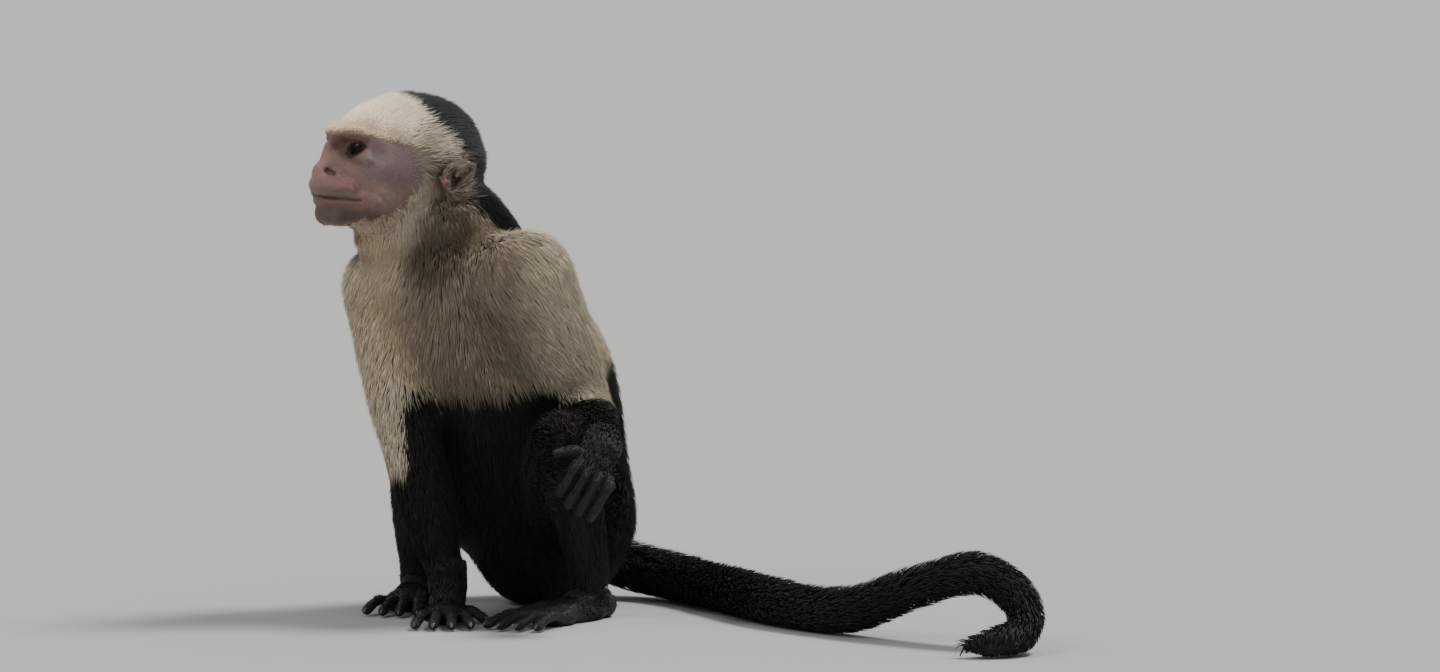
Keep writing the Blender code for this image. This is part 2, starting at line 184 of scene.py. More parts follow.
def direction(azimuth: float, elevation: float) -> Vector:
    """The way to a lamp or a camera, by degrees round from the -Y side towards +X, and degrees up."""
    turn, rise = math.radians(azimuth), math.radians(elevation)
    return Vector((math.sin(turn) * math.cos(rise), -math.cos(turn) * math.cos(rise), math.sin(rise)))


# ---------------- objects


def deselect() -> None:
    """Selects nothing."""
    bpy.ops.object.select_all(action="DESELECT")


def linked(name: str, data: bpy.types.ID) -> Object:
    """Makes an object of a mesh, a lamp or a camera, and puts it in the scene.

    Args:
        name: What the object is called.
        data: The mesh, lamp or camera.

    Returns:
        The new object.
    """
    obj = bpy.data.objects.new(name, data)
    bpy.context.scene.collection.objects.link(obj)
    return obj


def take(*objects: Object) -> None:
    """Selects some objects alone.

    Args:
        objects: The objects, of which the first becomes the active one.
    """
    deselect()
    for obj in objects:
        obj.select_set(True)
    bpy.context.view_layer.objects.active = objects[0]


@contextmanager
def editing(obj: Object) -> Iterator[None]:
    """Holds the object in edit mode with all of its mesh selected.

    Args:
        obj: The object, which becomes the active one.

    Returns:
        A context inside which the mesh can be edited.
    """
    take(obj)
    bpy.ops.object.mode_set(mode="EDIT")
    bpy.ops.mesh.select_all(action="SELECT")
    yield
    bpy.ops.object.mode_set(mode="OBJECT")


def choose(obj: Object, items: Items, chosen: Array) -> None:
    """Selects only some of an object's points or faces, and leaves it in edit mode.

    Args:
        obj: The object, which becomes the active one.
        items: Whether points or faces are meant.
        chosen: True or False for each of them.
    """
    take(obj)
    bpy.ops.object.mode_set(mode="EDIT")
    bpy.ops.mesh.select_mode(type=items.name)
    bpy.ops.mesh.select_all(action="DESELECT")
    bpy.ops.object.mode_set(mode="OBJECT")
    getattr(obj.data, items.value).foreach_set("select", chosen)
    bpy.ops.object.mode_set(mode="EDIT")


def shaped(obj: Object, kind: str, **settings: object) -> Object:
    """Adds a modifier and applies it.

    Args:
        obj: The object to change.
        kind: The modifier's type.
        settings: The modifier's properties.

    Returns:
        The same object.
    """
    take(obj)
    modifier = obj.modifiers.new(kind.title(), kind)
    for name, value in settings.items():
        setattr(modifier, name, value)
    bpy.ops.object.modifier_apply(modifier=modifier.name)
    return obj


def joined(objects: Sequence[Object], name: str) -> Object:
    """Makes several objects one.

    Args:
        objects: The objects, which are used up.
        name: What the one object and its mesh are called.

    Returns:
        The one object.
    """
    take(*objects)
    if len(objects) > 1:
        bpy.ops.object.join()
    obj = bpy.context.view_layer.objects.active
    obj.name = name
    obj.data.name = name
    return obj


def without_doubles(obj: Object, distance: float) -> Object:
    """Makes points that lie very close one, and turns the faces outwards.

    Args:
        obj: The object to change.
        distance: How close such points lie.

    Returns:
        The same object.
    """
    with editing(obj):
        bpy.ops.mesh.remove_doubles(threshold=distance)
        bpy.ops.mesh.normals_make_consistent(inside=False)
    return obj


def ball(place: Sequence[float], radii: Sequence[float], axes: Optional[Matrix] = None) -> Object:
    """A sphere stretched along three axes.

    Args:
        place: Its centre.
        radii: Its radius along each axis.
        axes: Columns of the axes, or none for those of the world.

    Returns:
        The new object, with its place in its mesh.
    """
    deselect()
    bpy.ops.mesh.primitive_uv_sphere_add(segments=32, ring_count=20, radius=1.0)
    obj = bpy.context.object
    turn = (axes or Matrix.Identity(3)).to_4x4()
    obj.data.transform(Matrix.Translation(place) @ turn @ Matrix.Diagonal(Vector(radii).to_4d()))
    return obj


def tube(stations: Sequence[tuple[Vector, float]]) -> Object:
    """A round tube with closed ends through stations.

    Args:
        stations: Each a point and the radius there.

    Returns:
        The new object, as a mesh.
    """
    deselect()
    bpy.ops.curve.primitive_bezier_curve_add()
    obj = bpy.context.object
    curve = obj.data
    curve.dimensions = "3D"
    curve.bevel_depth = 1.0
    curve.bevel_resolution = 4
    curve.resolution_u = 8
    curve.use_fill_caps = True
    points = curve.splines[0].bezier_points
    points.add(len(stations) - 2)
    for point, (place, radius) in zip(points, stations):
        point.handle_left_type = "AUTO"
        point.handle_right_type = "AUTO"
        point.co = place
        point.radius = radius
    take(obj)
    bpy.ops.object.convert(target="MESH")
    return without_doubles(obj, 0.01 * MM)


def read(items: bpy.types.bpy_prop_collection, name: str, width: int = 1, kind: type = np.int32) -> Array:
    """Reads a property of every item in one of a mesh's lists.

    Args:
        items: The list, such as the mesh's points.
        name: The property.
        width: How many numbers it has for each item.
        kind: The type of the numbers.

    Returns:
        One row for each item, or one number where the width is 1.
    """
    values = np.empty(len(items) * width, kind)
    items.foreach_get(name, values)
    return values.reshape(-1, width) if width > 1 else values


def coordinates(obj: Object) -> Array:
    """The places of an object's points, one row for each."""
    return read(obj.data.vertices, "co", 3, float)


def corner_points(mesh: bpy.types.Mesh) -> Array:
    """The number of the point that each corner of a mesh's faces is."""
    return read(mesh.loops, "vertex_index")


def normals_of(obj: Object) -> Array:
    """The outward directions at an object's points, one unit vector for each."""
    return read(obj.data.vertices, "normal", 3, np.float32).astype(float)


def move_points(obj: Object, places: Array) -> None:
    """Gives the object's points new places."""
    obj.data.vertices.foreach_set("co", places.astype(np.float32).ravel())
    obj.data.update()


def paint(obj: Object, colours: Array) -> None:
    """Stores colours on an object's points.

    Args:
        obj: The object.
        colours: One row of red, green and blue for each point.
    """
    attribute = obj.data.color_attributes.new(TONE, "FLOAT_COLOR", "POINT")
    rows = np.column_stack([colours, np.ones(len(colours))])
    attribute.data.foreach_set("color", rows.astype(np.float32).ravel())


def dress(obj: Object, material: Material, replaced: Iterable[str] = ()) -> Object:
    """Gives a finished piece its material and ties it to the frame.

    Args:
        obj: The piece.
        material: What it is made of.
        replaced: The nodes that it stands for.

    Returns:
        The same piece.
    """
    obj.data.materials.clear()
    obj.data.materials.append(material)
    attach(obj, BODY)
    if replaced:
        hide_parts(*replaced)
    log.info("%s: %d points", obj.name, len(obj.data.vertices))
    return obj


# ---------------- places from the frame


@dataclass
class Solids:
    """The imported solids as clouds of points, from which the body's places are worked out."""

    spacing: float = 2.5 * MM
    reach: float = 2.2 * MM  # how near two nodes' points are where they meet
    clouds: dict[str, Array] = field(default_factory=dict)

    def cloud(self, node: str) -> Array:
        """Points spread over a node's surface.

        Args:
            node: The node's name.

        Returns:
            Rows of three coordinates, the same on each call.
        """
        if node in self.clouds:
            return self.clouds[node]
        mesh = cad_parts[node].data
        mesh.calc_loop_triangles()
        corners = coordinates(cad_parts[node])[read(mesh.loop_triangles, "vertices", 3)]
        spans = np.cross(corners[:, 1] - corners[:, 0], corners[:, 2] - corners[:, 0])
        wanted = np.ceil(lengths(spans) / 2.0 / self.spacing**2).astype(int)
        chosen = np.repeat(corners, wanted, axis=0)
        first, second = scattered(np.random.default_rng(SEED), len(chosen))
        edges = chosen[:, 1:] - chosen[:, :1]
        self.clouds[node] = chosen[:, 0] + edges[:, 0] * first[:, None] + edges[:, 1] * second[:, None]
        return self.clouds[node]

    def joint(self, first: str, second: str) -> Array:
        """The middle of the place where two nodes meet.

        Args:
            first: A node's name.
            second: The name of the node next to it.

        Returns:
            The point, as three coordinates.
        """
        tree = tree_of(self.cloud(second))
        near = [point for point in self.cloud(first) if tree.find(point)[2] < self.reach]
        return np.mean(near, axis=0)

    def centre(self, node: str) -> Array:
        """The middle of a node's points."""
        return self.cloud(node).mean(axis=0)


def tree_of(points: Array) -> KDTree:
    """Makes a search tree.

    Args:
        points: Rows of three coordinates.

    Returns:
        The tree over them, in the same order.
    """
    tree = KDTree(len(points))
    for index, point in enumerate(points):
        tree.insert(point, index)
    tree.balance()
    return tree


def nearest(tree: KDTree, points: Array) -> Array:
    """The index of the tree's nearest point to each row."""
    return np.fromiter((tree.find(point)[1] for point in points), int, len(points))


@dataclass
class HeadFrame:
    """The head's own axes, and its origin between the eyes."""

    eye_depth: float = 7.5  # mm from the mid-eye plane back to the eyeballs' centres
    origin: Array = field(default_factory=lambda: np.zeros(3))
    axes: Array = field(default_factory=lambda: np.eye(3))
    eye_radius: float = 0.0
    eye_offset: float = 0.0

    def __post_init__(self) -> None:
        """Reads the eyes' places from the frame."""
        boxes = {side: [np.array(corner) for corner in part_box(f"eye_{side}")] for side in SIDES}
        centres = {side: (low + high) / 2.0 for side, (low, high) in boxes.items()}
        across = centres["left"] - centres["right"]
        left = across / np.linalg.norm(across)
        forward = np.cross(left, np.array(UP))
        self.axes = np.array([forward, left, np.array(UP)])
        self.origin = (centres["left"] + centres["right"]) / 2.0 + forward * self.eye_depth * MM
        low, high = boxes["left"]
        self.eye_radius = (high[2] - low[2]) / 2.0 / MM
        self.eye_offset = np.linalg.norm(across) / 2.0 / MM

    def local(self, points: Array) -> Array:
        """Places in the head, in millimetres forward, left and up."""
        return (points - self.origin) @ self.axes.T / MM

    def world(self, places: Array) -> Array:
        """The points of places in the head."""
        return np.asarray(places, float) * MM @ self.axes + self.origin

    def eye(self, sign: float) -> Array:
        """An eyeball's centre, as a place in the head."""
        return np.array([-self.eye_depth, sign * self.eye_offset, 0.0])

    def matrix(self) -> Matrix:
        """The axes as the columns of a matrix."""
        return Matrix(self.axes.tolist()).transposed()


SOLIDS = Solids()
HEAD = HeadFrame()


# ---------------- which part is where


def parts_of(name: str) -> tuple[str, ...]:
    """The nodes of a paired part, left and right."""
    return tuple(f"{name}_{side}" for side in SIDES)


FLESH = ("trunk", "neck", "head", *(node for limb in LIMBS for node in parts_of(limb)), *TAIL)
FACE_PARTS = (*parts_of("eye"), *parts_of("ear"))


@dataclass
class Anatomy:
    """Tells which part of the body a point is on, by the nearest solid."""

    nodes: tuple[str, ...] = (*FLESH, *FACE_PARTS, *PAWS)

    def __post_init__(self) -> None:
        """Gathers the solids' points in one search tree."""
        clouds = [SOLIDS.cloud(node) for node in self.nodes]
        self.owner = np.repeat(np.arange(len(clouds)), [len(cloud) for cloud in clouds])
        self.tree = tree_of(np.concatenate(clouds))

    def owners(self, points: Array) -> Array:
        """The number of the node that each point is on."""
        return self.owner[nearest(self.tree, points)]


@dataclass
class Sites:
    """Places on the body, with all that the coat and the markings ask about them."""

    points: Array
    normals: Array

    def __post_init__(self) -> None:
        """Finds the node that each place is on, and where it is in the head."""
        self.owners = ANATOMY.owners(self.points)
        self.local = HEAD.local(self.points)

    def on(self, *names: str) -> Array:
        """Where a place is on one of the nodes whose names begin like this."""
        wanted = [index for index, node in enumerate(ANATOMY.nodes) if node.startswith(names)]
        return np.isin(self.owners, wanted)


def sites_of(obj: Object) -> Sites:
    """The places of an object's points."""
    return Sites(coordinates(obj), normals_of(obj))


def mirrored(local: Array) -> Array:
    """Places in the head, with those on the right turned over to the left."""
    return local * np.where(local[:, 1:2] < 0, [1, -1, 1], [1, 1, 1])


@dataclass
class Web:
    """The edges of a mesh, over which values are evened out."""

    obj: Object

    def __post_init__(self) -> None:
        """Reads the edges, each in both directions."""
        first, second = read(self.obj.data.edges, "vertices", 2).T
        self.start = np.concatenate([first, second])
        self.end = np.concatenate([second, first])
        self.size = len(self.obj.data.vertices)
        self.links = np.maximum(np.bincount(self.start, minlength=self.size), 1)

    def even(self, values: Array, rounds: int) -> Array:
        """Values mixed with their neighbours' average.

        Args:
            values: One number or one row for each point.
            rounds: How often they are mixed.

        Returns:
            The evened values, in the same shape.
        """
        columns = values.reshape(self.size, -1).T.astype(float)
        for _ in range(rounds):
            around = [
                np.bincount(self.start, weights=column[self.end], minlength=self.size) / self.links
                for column in columns
            ]
            columns = (columns + np.array(around)) / 2.0
        return columns.T.reshape(values.shape)


def eye_angles(local: Array, sign: float) -> tuple[Array, Array, Array]:
    """Where places of the head lie as seen from an eyeball's centre.

    Args:
        local: Places in the head.
        sign: 1 for the left eye and -1 for the right.

    Returns:
        The degrees outwards from straight ahead, the degrees up, and the distance in millimetres.
    """
    away = local - HEAD.eye(sign)
    distance = lengths(away)
    azimuth = np.degrees(np.arctan2(away[:, 1] * sign, away[:, 0]))
    height = np.degrees(np.arcsin(np.clip(away[:, 2] / distance, -1, 1)))
    return azimuth, height, distance


# ---------------- the face's layout

Hairline = tuple[tuple[float, ...], tuple[float, ...]]


@dataclass(frozen=True)
class FaceMap:
    """Where the face is bare or short-haired, in the head's millimetres: pairs of forward and up."""

    top: Hairline = ((-52, -42, -30, -22, -15, -7, 0, 5), (-5, 0, 4.5, 7, 8, 10.5, 12, 12.5))
    bottom: Hairline = ((-52, -45, -38, -32, -20, -10, 0, 12), (-18, -25, -34, -43, -48, -50, -50, -50))
    back: float = -47.0  # where the bare cheek ends before the ear
    cheek: float = -12.0  # behind this the skin carries short hairs

    def bare(self, local: Array) -> Array:
        """How far each place of the head is inside the face.

        Args:
            local: Places in the head.

        Returns:
            1 on the face, 0 in the coat, and a soft change between them.
        """
        forward, up = local[:, 0], local[:, 2]
        under_top = np.interp(forward, *self.top) - up
        over_bottom = up - np.interp(forward, *self.bottom)
        return ramp(under_top, -3, 5) * ramp(over_bottom, -5, 7) * ramp(forward - self.back, -8, 10)


FACE = FaceMap()


@dataclass(frozen=True)
class CoatDepth:
    """How far the skin lies under the coat's tips, in millimetres."""

    body: dict[str, float] = field(
        default_factory=lambda: {
            **dict(trunk=11.0, neck=10.0, head=7.5, ear=0.6, eye=0.0),
            **dict(upper_arm=8.5, forearm=6.0, hand=0.7, thigh=9.0, shin=6.0, foot=0.7),
            **dict(tail_root=7.5, tail_middle=7.0, tail_far=6.5, tail_tip=5.0),
        }
    )
    cuff: float = 1.8  # at the wrists and ankles
    cuff_length: float = 26.0
    seat: float = 3.0  # where it sits on the ground
    muzzle: float = 0.3
    cheek: float = 1.3
    forehead: float = 2.6  # at the hairline

    def at(self, sites: Sites) -> Array:
        """The depth under the solids' surface.

        Args:
            sites: Places on it.

        Returns:
            Millimetres from each down to the skin.
        """
        depth = np.zeros(len(sites.points))
        for name, value in self.body.items():
            depth[sites.on(name)] = value
        for paw, limb in zip(PAWS, (*parts_of("forearm"), *parts_of("shin"))):
            away = lengths(sites.points - SOLIDS.joint(limb, paw)) / MM
            depth = np.minimum(depth, self.cuff + 7.0 * ramp(away, 6.0, self.cuff_length))
        seated = sites.on("trunk", "thigh", "shin", "tail")
        floor = self.seat + 8.0 * ramp(sites.points[:, 2], 4 * MM, 22 * MM)
        depth = np.where(seated, np.minimum(depth, floor), depth)
        return np.where(sites.on("head"), self.over_head(sites.local), depth)

    def over_head(self, local: Array) -> Array:
        """The depth on the head: least on the muzzle, more on the cheeks, and full on the crown.

        Args:
            local: Places in the head.

        Returns:
            Millimetres from each down to the skin.
        """
        forward, _, up = local.T
        above = up - np.interp(forward, *FACE.top)
        crown = self.forehead + (self.body["head"] - self.forehead) * ramp(above, 0, 22)
        face = self.muzzle + (self.cheek - self.muzzle) * ramp(FACE.cheek - forward, 0, 12)
        head = np.where((above > 0) & (forward > -45), crown, self.body["head"])
        return head + (face - head) * FACE.bare(local)


# ---------------- markings


class Pelt(Enum):
    """The coat's and the skin's colours, as linear light; a few also carry painted shade."""

    CREAM = (0.74, 0.64, 0.48)
    FOREHEAD = (0.82, 0.69, 0.52)
    HAIRLINE = (0.54, 0.36, 0.23)
    CHEST = (0.60, 0.47, 0.30)
    # Painted shade: a darker, browner middle of the breast, standing for the shade there.
    BREAST = (0.27, 0.21, 0.148)
    # Brown fur below and behind the ears, darkened further as painted shadow.
    NAPE = (0.125, 0.092, 0.066)
    BLACK = (0.0080, 0.0085, 0.0102)
    SHADE = (0.018, 0.014, 0.012)  # a browner black, mixed into the black fur in large random patches
    CHEEK_DOWN = (0.34, 0.265, 0.25)
    BRISTLE = (0.22, 0.15, 0.125)
    EAR_HAIR = (0.18, 0.140, 0.108)
    # A greyer cream for the ruff, partly painted shade.
    RUFF = (0.56, 0.475, 0.36)
    # Greyer hair at the temples and behind the cheeks, partly painted shade.
    TEMPLE = (0.36, 0.30, 0.235)


class Flesh(Enum):
    """The bare skin's colours, as linear light; a few also carry painted shade or painted highlight."""

    FACE = (0.240, 0.150, 0.132)
    CHEEK = (0.205, 0.148, 0.152)
    # Painted shade for the hollows round the eyes.
    HOLLOW = (0.105, 0.050, 0.038)
    # Dark lid skin, with painted shade of the eye's socket in it.
    LID = (0.055, 0.026, 0.020)
    # Pink skin, lighter as painted highlight on the nose and the lip pads.
    NOSE = (0.330, 0.185, 0.165)
    LIP = (0.250, 0.110, 0.105)
    # Painted shade in the mouth's slit.
    MOUTH = (0.042, 0.020, 0.018)
    # Dark chin skin; above the mouth it is painted shadow under the lip pads.
    CHIN = (0.105, 0.072, 0.060)
    # Painted shade inside the nostrils.
    NOSTRIL = (0.040, 0.016, 0.014)
    EAR = (0.125, 0.078, 0.058)
    TRAGUS = (0.330, 0.150, 0.130)
    PAW = (0.015, 0.0135, 0.0145)
    UNDER_CREAM = (0.500, 0.400, 0.290)
    UNDER_BLACK = (0.010, 0.009, 0.009)


def plain(colour: Enum, count: int) -> Array:
    """Rows of one colour."""
    return np.tile(colour.value, (count, 1))


def tinted(colours: Array, colour: Enum, share: Array) -> Array:
    """Rows of colours turning into one colour by a share for each row."""
    return blended(colours, np.array(colour.value), share)


@dataclass(frozen=True)
class Dab:
    """A soft patch of colour laid along a line in the head, on both sides."""

    colour: Flesh
    line: tuple[Place, ...]
    reach: float
    strength: float = 1.0

    def lay(self, colours: Array, local: Array) -> Array:
        """The colours with this patch over them.

        Args:
            colours: One colour for each place.
            local: The places in the head, with left made positive.

        Returns:
            The new colours.
        """
        away = line_distance(local, self.line if len(self.line) > 1 else self.line * 2)
        return tinted(colours, self.colour, self.strength * ramp(away, self.reach, self.reach * 0.35))


@dataclass
class Markings:
    """Where the animal is cream, black or bare, which its skin and its coat both follow."""

    cap_slope: float = 0.95
    cap_front: float = -25.0  # where the black cap begins on the crown
    cap_base: float = 33.0
    chest_edge: float = 147.0  # height in mm where the chest turns black
    # The breast's middle is darkened along this line as painted shade.
    shaded_breast: tuple[Place, ...] = ((0.025, -0.12, 0.215), (0.03, -0.13, 0.15))  # browner, in the frame's metres
    # The temples are greyed along this line, partly as painted shade.
    shaded_temple: tuple[Place, ...] = ((-46, 35, 6), (-54, 37, -8))  # greyer, in the head
    # Behind the ears the fur is browned and darkened, partly as painted shadow.
    shaded_behind_ear: tuple[Place, ...] = ((-56, 38, -20), (-51, 37, -38), (-46, 33, -60))  # browner, in the head
    saddle_heights: tuple[float, ...] = (100, 150, 180, 210, 235, 250, 265)
    saddle_widths: tuple[float, ...] = (200, 95, 32, 19, 27, 43, 40)
    arm_edges: dict[str, tuple[float, float]] = field(
        default_factory=lambda: {"left": (143, 139), "right": (143, 95)}
    )  # height in mm on the inner side and on the outer side
    dabs: tuple[Dab, ...] = (
        Dab(Flesh.CHEEK, ((-14, 28, -8), (-34, 32, -12)), 17),
        Dab(Flesh.CHIN, ((15, 0, -40), (8, 12, -43), (-8, 20, -46)), 14, 0.95),
        # Nose ridge and tip: pink, lighter as painted highlight.
        Dab(Flesh.NOSE, ((9, 0, -3), (14, 0, -9), (18, 4, -13)), 8, 0.8),
        # Upper lip pads: pink, lighter as painted highlight.
        Dab(Flesh.NOSE, ((10, 12, -20), (2, 17, -22)), 7, 0.8),
        # Painted shade in the hollow between brow and eye.
        Dab(Flesh.HOLLOW, ((5, 4, 5), (3, 11, 6), (-3, 20, 6)), 9, 0.9),
        # Painted shade in the hollow under the eye.
        Dab(Flesh.HOLLOW, ((3, 8, -3), (-2, 20, -8)), 4.5, 0.6),
        Dab(Flesh.LIP, ((17, 0, -32.5), (16, 8, -33), (5, 18.5, -33.3), (-3, 24, -32.5)), 3.2, 0.6),
        # Painted shadow on the upper lip, under its pads, above the mouth.
        Dab(Flesh.CHIN, ((20, 0, -27), (14, 11, -28), (3, 19, -29)), 7.0, 0.5),
        # Painted shade in the mouth's slit.
        Dab(
            Flesh.MOUTH,
            ((23, 0, -29), (16.5, 0, -29), (18.5, 5, -29.4), (15, 10, -30), (12, 13, -30.4)),
            1.6,
            0.9,
        ),
        # Painted shade in the slit towards the mouth's corner.
        Dab(Flesh.MOUTH, ((12, 13, -30.4), (7, 17.2, -30.9), (-1, 23, -31.8)), 1.2, 0.8),
        # Painted shade inside the nostril.
        Dab(Flesh.NOSTRIL, ((13.6, 6, -13), (10.5, 8.4, -14.8)), 2.4),
    )

    def saddle_line(self) -> list[Place]:
        """Finds the middle of the black stripe.

        Returns:
            Its corners, from the back of the head down the spine.
        """
        back = -HEAD.axes[0]
        head = HEAD.world([-80.0, 0.0, -18.0])
        nape = SOLIDS.joint("neck", "head") + back * 47 * MM
        chest = SOLIDS.joint("neck", "trunk") + np.array([0.0, 0.056, -0.022])
        low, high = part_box("trunk")
        return [tuple(p) for p in (head, nape, chest, np.array([0.0, high[1], low[2] + 0.06]))]

    def black(self, sites: Sites) -> Array:
        """How black the fur is.

        Args:
            sites: Places on or over the skin.

        Returns:
            0 where it is cream, 1 where it is black.
        """
        height = sites.points[:, 2] / MM
        away = line_distance(sites.points, self.saddle_line()) / MM
        saddle = ramp(np.interp(height, self.saddle_heights, self.saddle_widths) - away, -4, 4)
        share = np.ones(len(sites.points))
        upper = sites.on("trunk", "neck")
        share[upper] = np.maximum(saddle, ramp(self.chest_edge - height, -12, 8))[upper]
        for side, (inner, outer) in self.arm_edges.items():
            facing = sites.normals @ np.array([0.8 * SIDES[side], -0.6, 0.0])
            edge = inner + (outer - inner) * ramp(facing, -0.2, 0.5)
            arm = sites.on(f"upper_arm_{side}", f"forearm_{side}")
            share[arm] = ramp(edge - height, -9, 6)[arm]
        forward, _, up = sites.local.T
        cap = up - self.cap_slope * (forward - self.cap_front) - self.cap_base
        head = np.maximum(ramp(cap, -8, 6), ramp(-69 - forward, -4, 4))
        on_head = sites.on("head", "ear", "eye")
        share[on_head] = head[on_head]
        return share

    def cream(self, sites: Sites) -> Array:
        """The light fur's colour, with painted shade on the breast, at the temples and behind the ears.

        Args:
            sites: Places on or over the skin.

        Returns:
            One colour for each place.
        """
        points = sites.points
        forward, _, up = sites.local.T
        colours = plain(Pelt.CREAM, len(points))
        chest = sites.on("trunk") * ramp(points[:, 2], 0.23, 0.20)
        colours = tinted(colours, Pelt.CHEST, chest * 0.45)
        # Painted shade: the breast's middle browner and darker.
        shaded_breast = line_distance(points, self.shaded_breast) / MM
        shaded_breast = ~sites.on("head", "ear") * ramp(shaded_breast, 66, 22) * ramp(points[:, 0], 0.085, 0.05)
        colours = tinted(colours, Pelt.BREAST, shaded_breast * 0.8)
        colours = tinted(colours, Pelt.FOREHEAD, ramp(forward, -42, -10) * ramp(up, 0, 15))
        edge = ramp(up - np.interp(forward, *FACE.top), 6, 1) * ramp(forward, -34, -16)
        colours = tinted(colours, Pelt.HAIRLINE, 0.6 * edge)
        local = mirrored(sites.local)
        # Greyer temples, partly painted shade.
        colours = tinted(colours, Pelt.TEMPLE, 0.7 * ramp(line_distance(local, self.shaded_temple), 19, 5))
        # Browner behind the ears, partly painted shadow.
        return tinted(colours, Pelt.NAPE, 0.88 * ramp(line_distance(local, self.shaded_behind_ear), 23, 9))

    def skin(self, sites: Sites) -> Array:
        """The skin's colour, with painted shade in the face's hollows, slits and round the eyes, and painted
        highlight on the nose and lip pads.

        Args:
            sites: Places on the skin.

        Returns:
            One colour for each place.
        """
        count = len(sites.points)
        colours = tinted(plain(Flesh.UNDER_CREAM, count), Flesh.UNDER_BLACK, self.black(sites))
        bare = FACE.bare(sites.local) * sites.on("head", "eye")
        local = mirrored(sites.local)
        face = plain(Flesh.FACE, count)
        for dab in self.dabs:
            face = dab.lay(face, local)
        # Dark lid skin round the opening, with painted shade of the socket.
        azimuth, height, distance = eye_angles(local, 1.0)
        away = ramp(distance - HEAD.eye_radius, 2, 4)
        rim = Skin.lids.outside(azimuth, height) + 20.0 * away
        face = tinted(face, Flesh.LID, ramp(rim, 11, 3))
        colours = blended(colours, face, bare)
        colours[sites.on("ear")] = Flesh.EAR.value
        colours = Dab(Flesh.EAR, ((-58, 40, -16), (-58, 40, -27)), 20).lay(colours, local)
        colours = Dab(Flesh.TRAGUS, ((-50, 34, -9), (-51, 37, -18)), 7, 0.9).lay(colours, local)
        colours[sites.on("hand", "foot")] = Flesh.PAW.value
        return np.clip(colours, 0.0, 1.0)


ANATOMY = Anatomy()
MARKINGS = Markings()


# ---------------- paws, nails and ears


@dataclass
class Digit:
    """A finger or toe: its root, its tip, and how it arches between them."""

    root: Vector
    tip: Vector
    radius: float
    rise: float

    def stations(self) -> list[tuple[Vector, float]]:
        """Sets out the digit's line: waist, knuckle, waist, pad.

        Returns:
            Points along the bone, each with the radius there.
        """
        lift = UP * self.rise
        shares = ((0.0, 0.0, 1.0), (0.24, 0.75, 0.90), (0.45, 1.0, 1.0), (0.63, 0.8, 0.86))
        tail = ((0.80, 0.42, 0.90), (0.93, 0.12, 0.92), (1.0, 0.0, 0.66))
        return [
            (self.root.lerp(self.tip, along) + lift * up, self.radius * thick)
            for along, up, thick in shares + tail
        ]


@dataclass
class Nail:
    """A curved nail that lies on a digit's tip and hooks a little over it."""

    base: Vector
    tip: Vector
    up: Vector
    half_width: float = 1.9 * MM
    thickness: float = 0.9 * MM

    def build(self) -> Object:
        """Shapes the nail from a flattened ball: tapered to its point, cut off flat below and hooked.

        Returns:
            The nail, in place.
        """
        along = self.tip - self.base
        length = along.length
        forward = along.normalized()
        side = self.up.cross(forward).normalized()
        above = forward.cross(side)
        deselect()
        bpy.ops.mesh.primitive_uv_sphere_add(segments=20, ring_count=12, radius=1.0)
        obj = bpy.context.object
        with editing(obj):
            bpy.ops.mesh.bisect(plane_co=(0, 0, -0.35), plane_no=(0, 0, 1), clear_inner=True, use_fill=True)
        places = coordinates(obj)
        taper = 1.0 - 0.45 * ramp(places[:, 0], -0.2, 1.0)
        places[:, 1] *= taper
        places[:, 2] = places[:, 2] * taper - 1.1 * ramp(places[:, 0], 0.0, 1.1) ** 1.5
        places[:, 2] -= 0.5 * places[:, 1] ** 2
        move_points(obj, places)
        axes = Matrix((forward, side, above)).transposed().to_4x4()
        size = Matrix.Diagonal(Vector((length / 2, self.half_width, self.thickness)).to_4d())
        obj.data.transform(Matrix.Translation(self.base.lerp(self.tip, 0.5)) @ axes @ size)
        obj.data.shade_smooth()
        return obj


def melted(pieces: Sequence[Object], name: str, grid: float, rounds: int) -> Object:
    """Overlapping closed pieces made one even surface.

    Args:
        pieces: The pieces, which are used up.
        name: The new object's name.
        grid: The size of its faces.
        rounds: How often it is smoothed.

    Returns:
        The one object.
    """
    obj = joined(pieces, name)
    shaped(obj, "REMESH", mode="VOXEL", voxel_size=grid)
    return shaped(obj, "SMOOTH", factor=0.5, iterations=rounds)


def heading(angle: float) -> Matrix:
    """Columns forward, left and up for a paw that lies flat and points this way."""
    return Matrix.Rotation(math.radians(angle), 3, "Z")


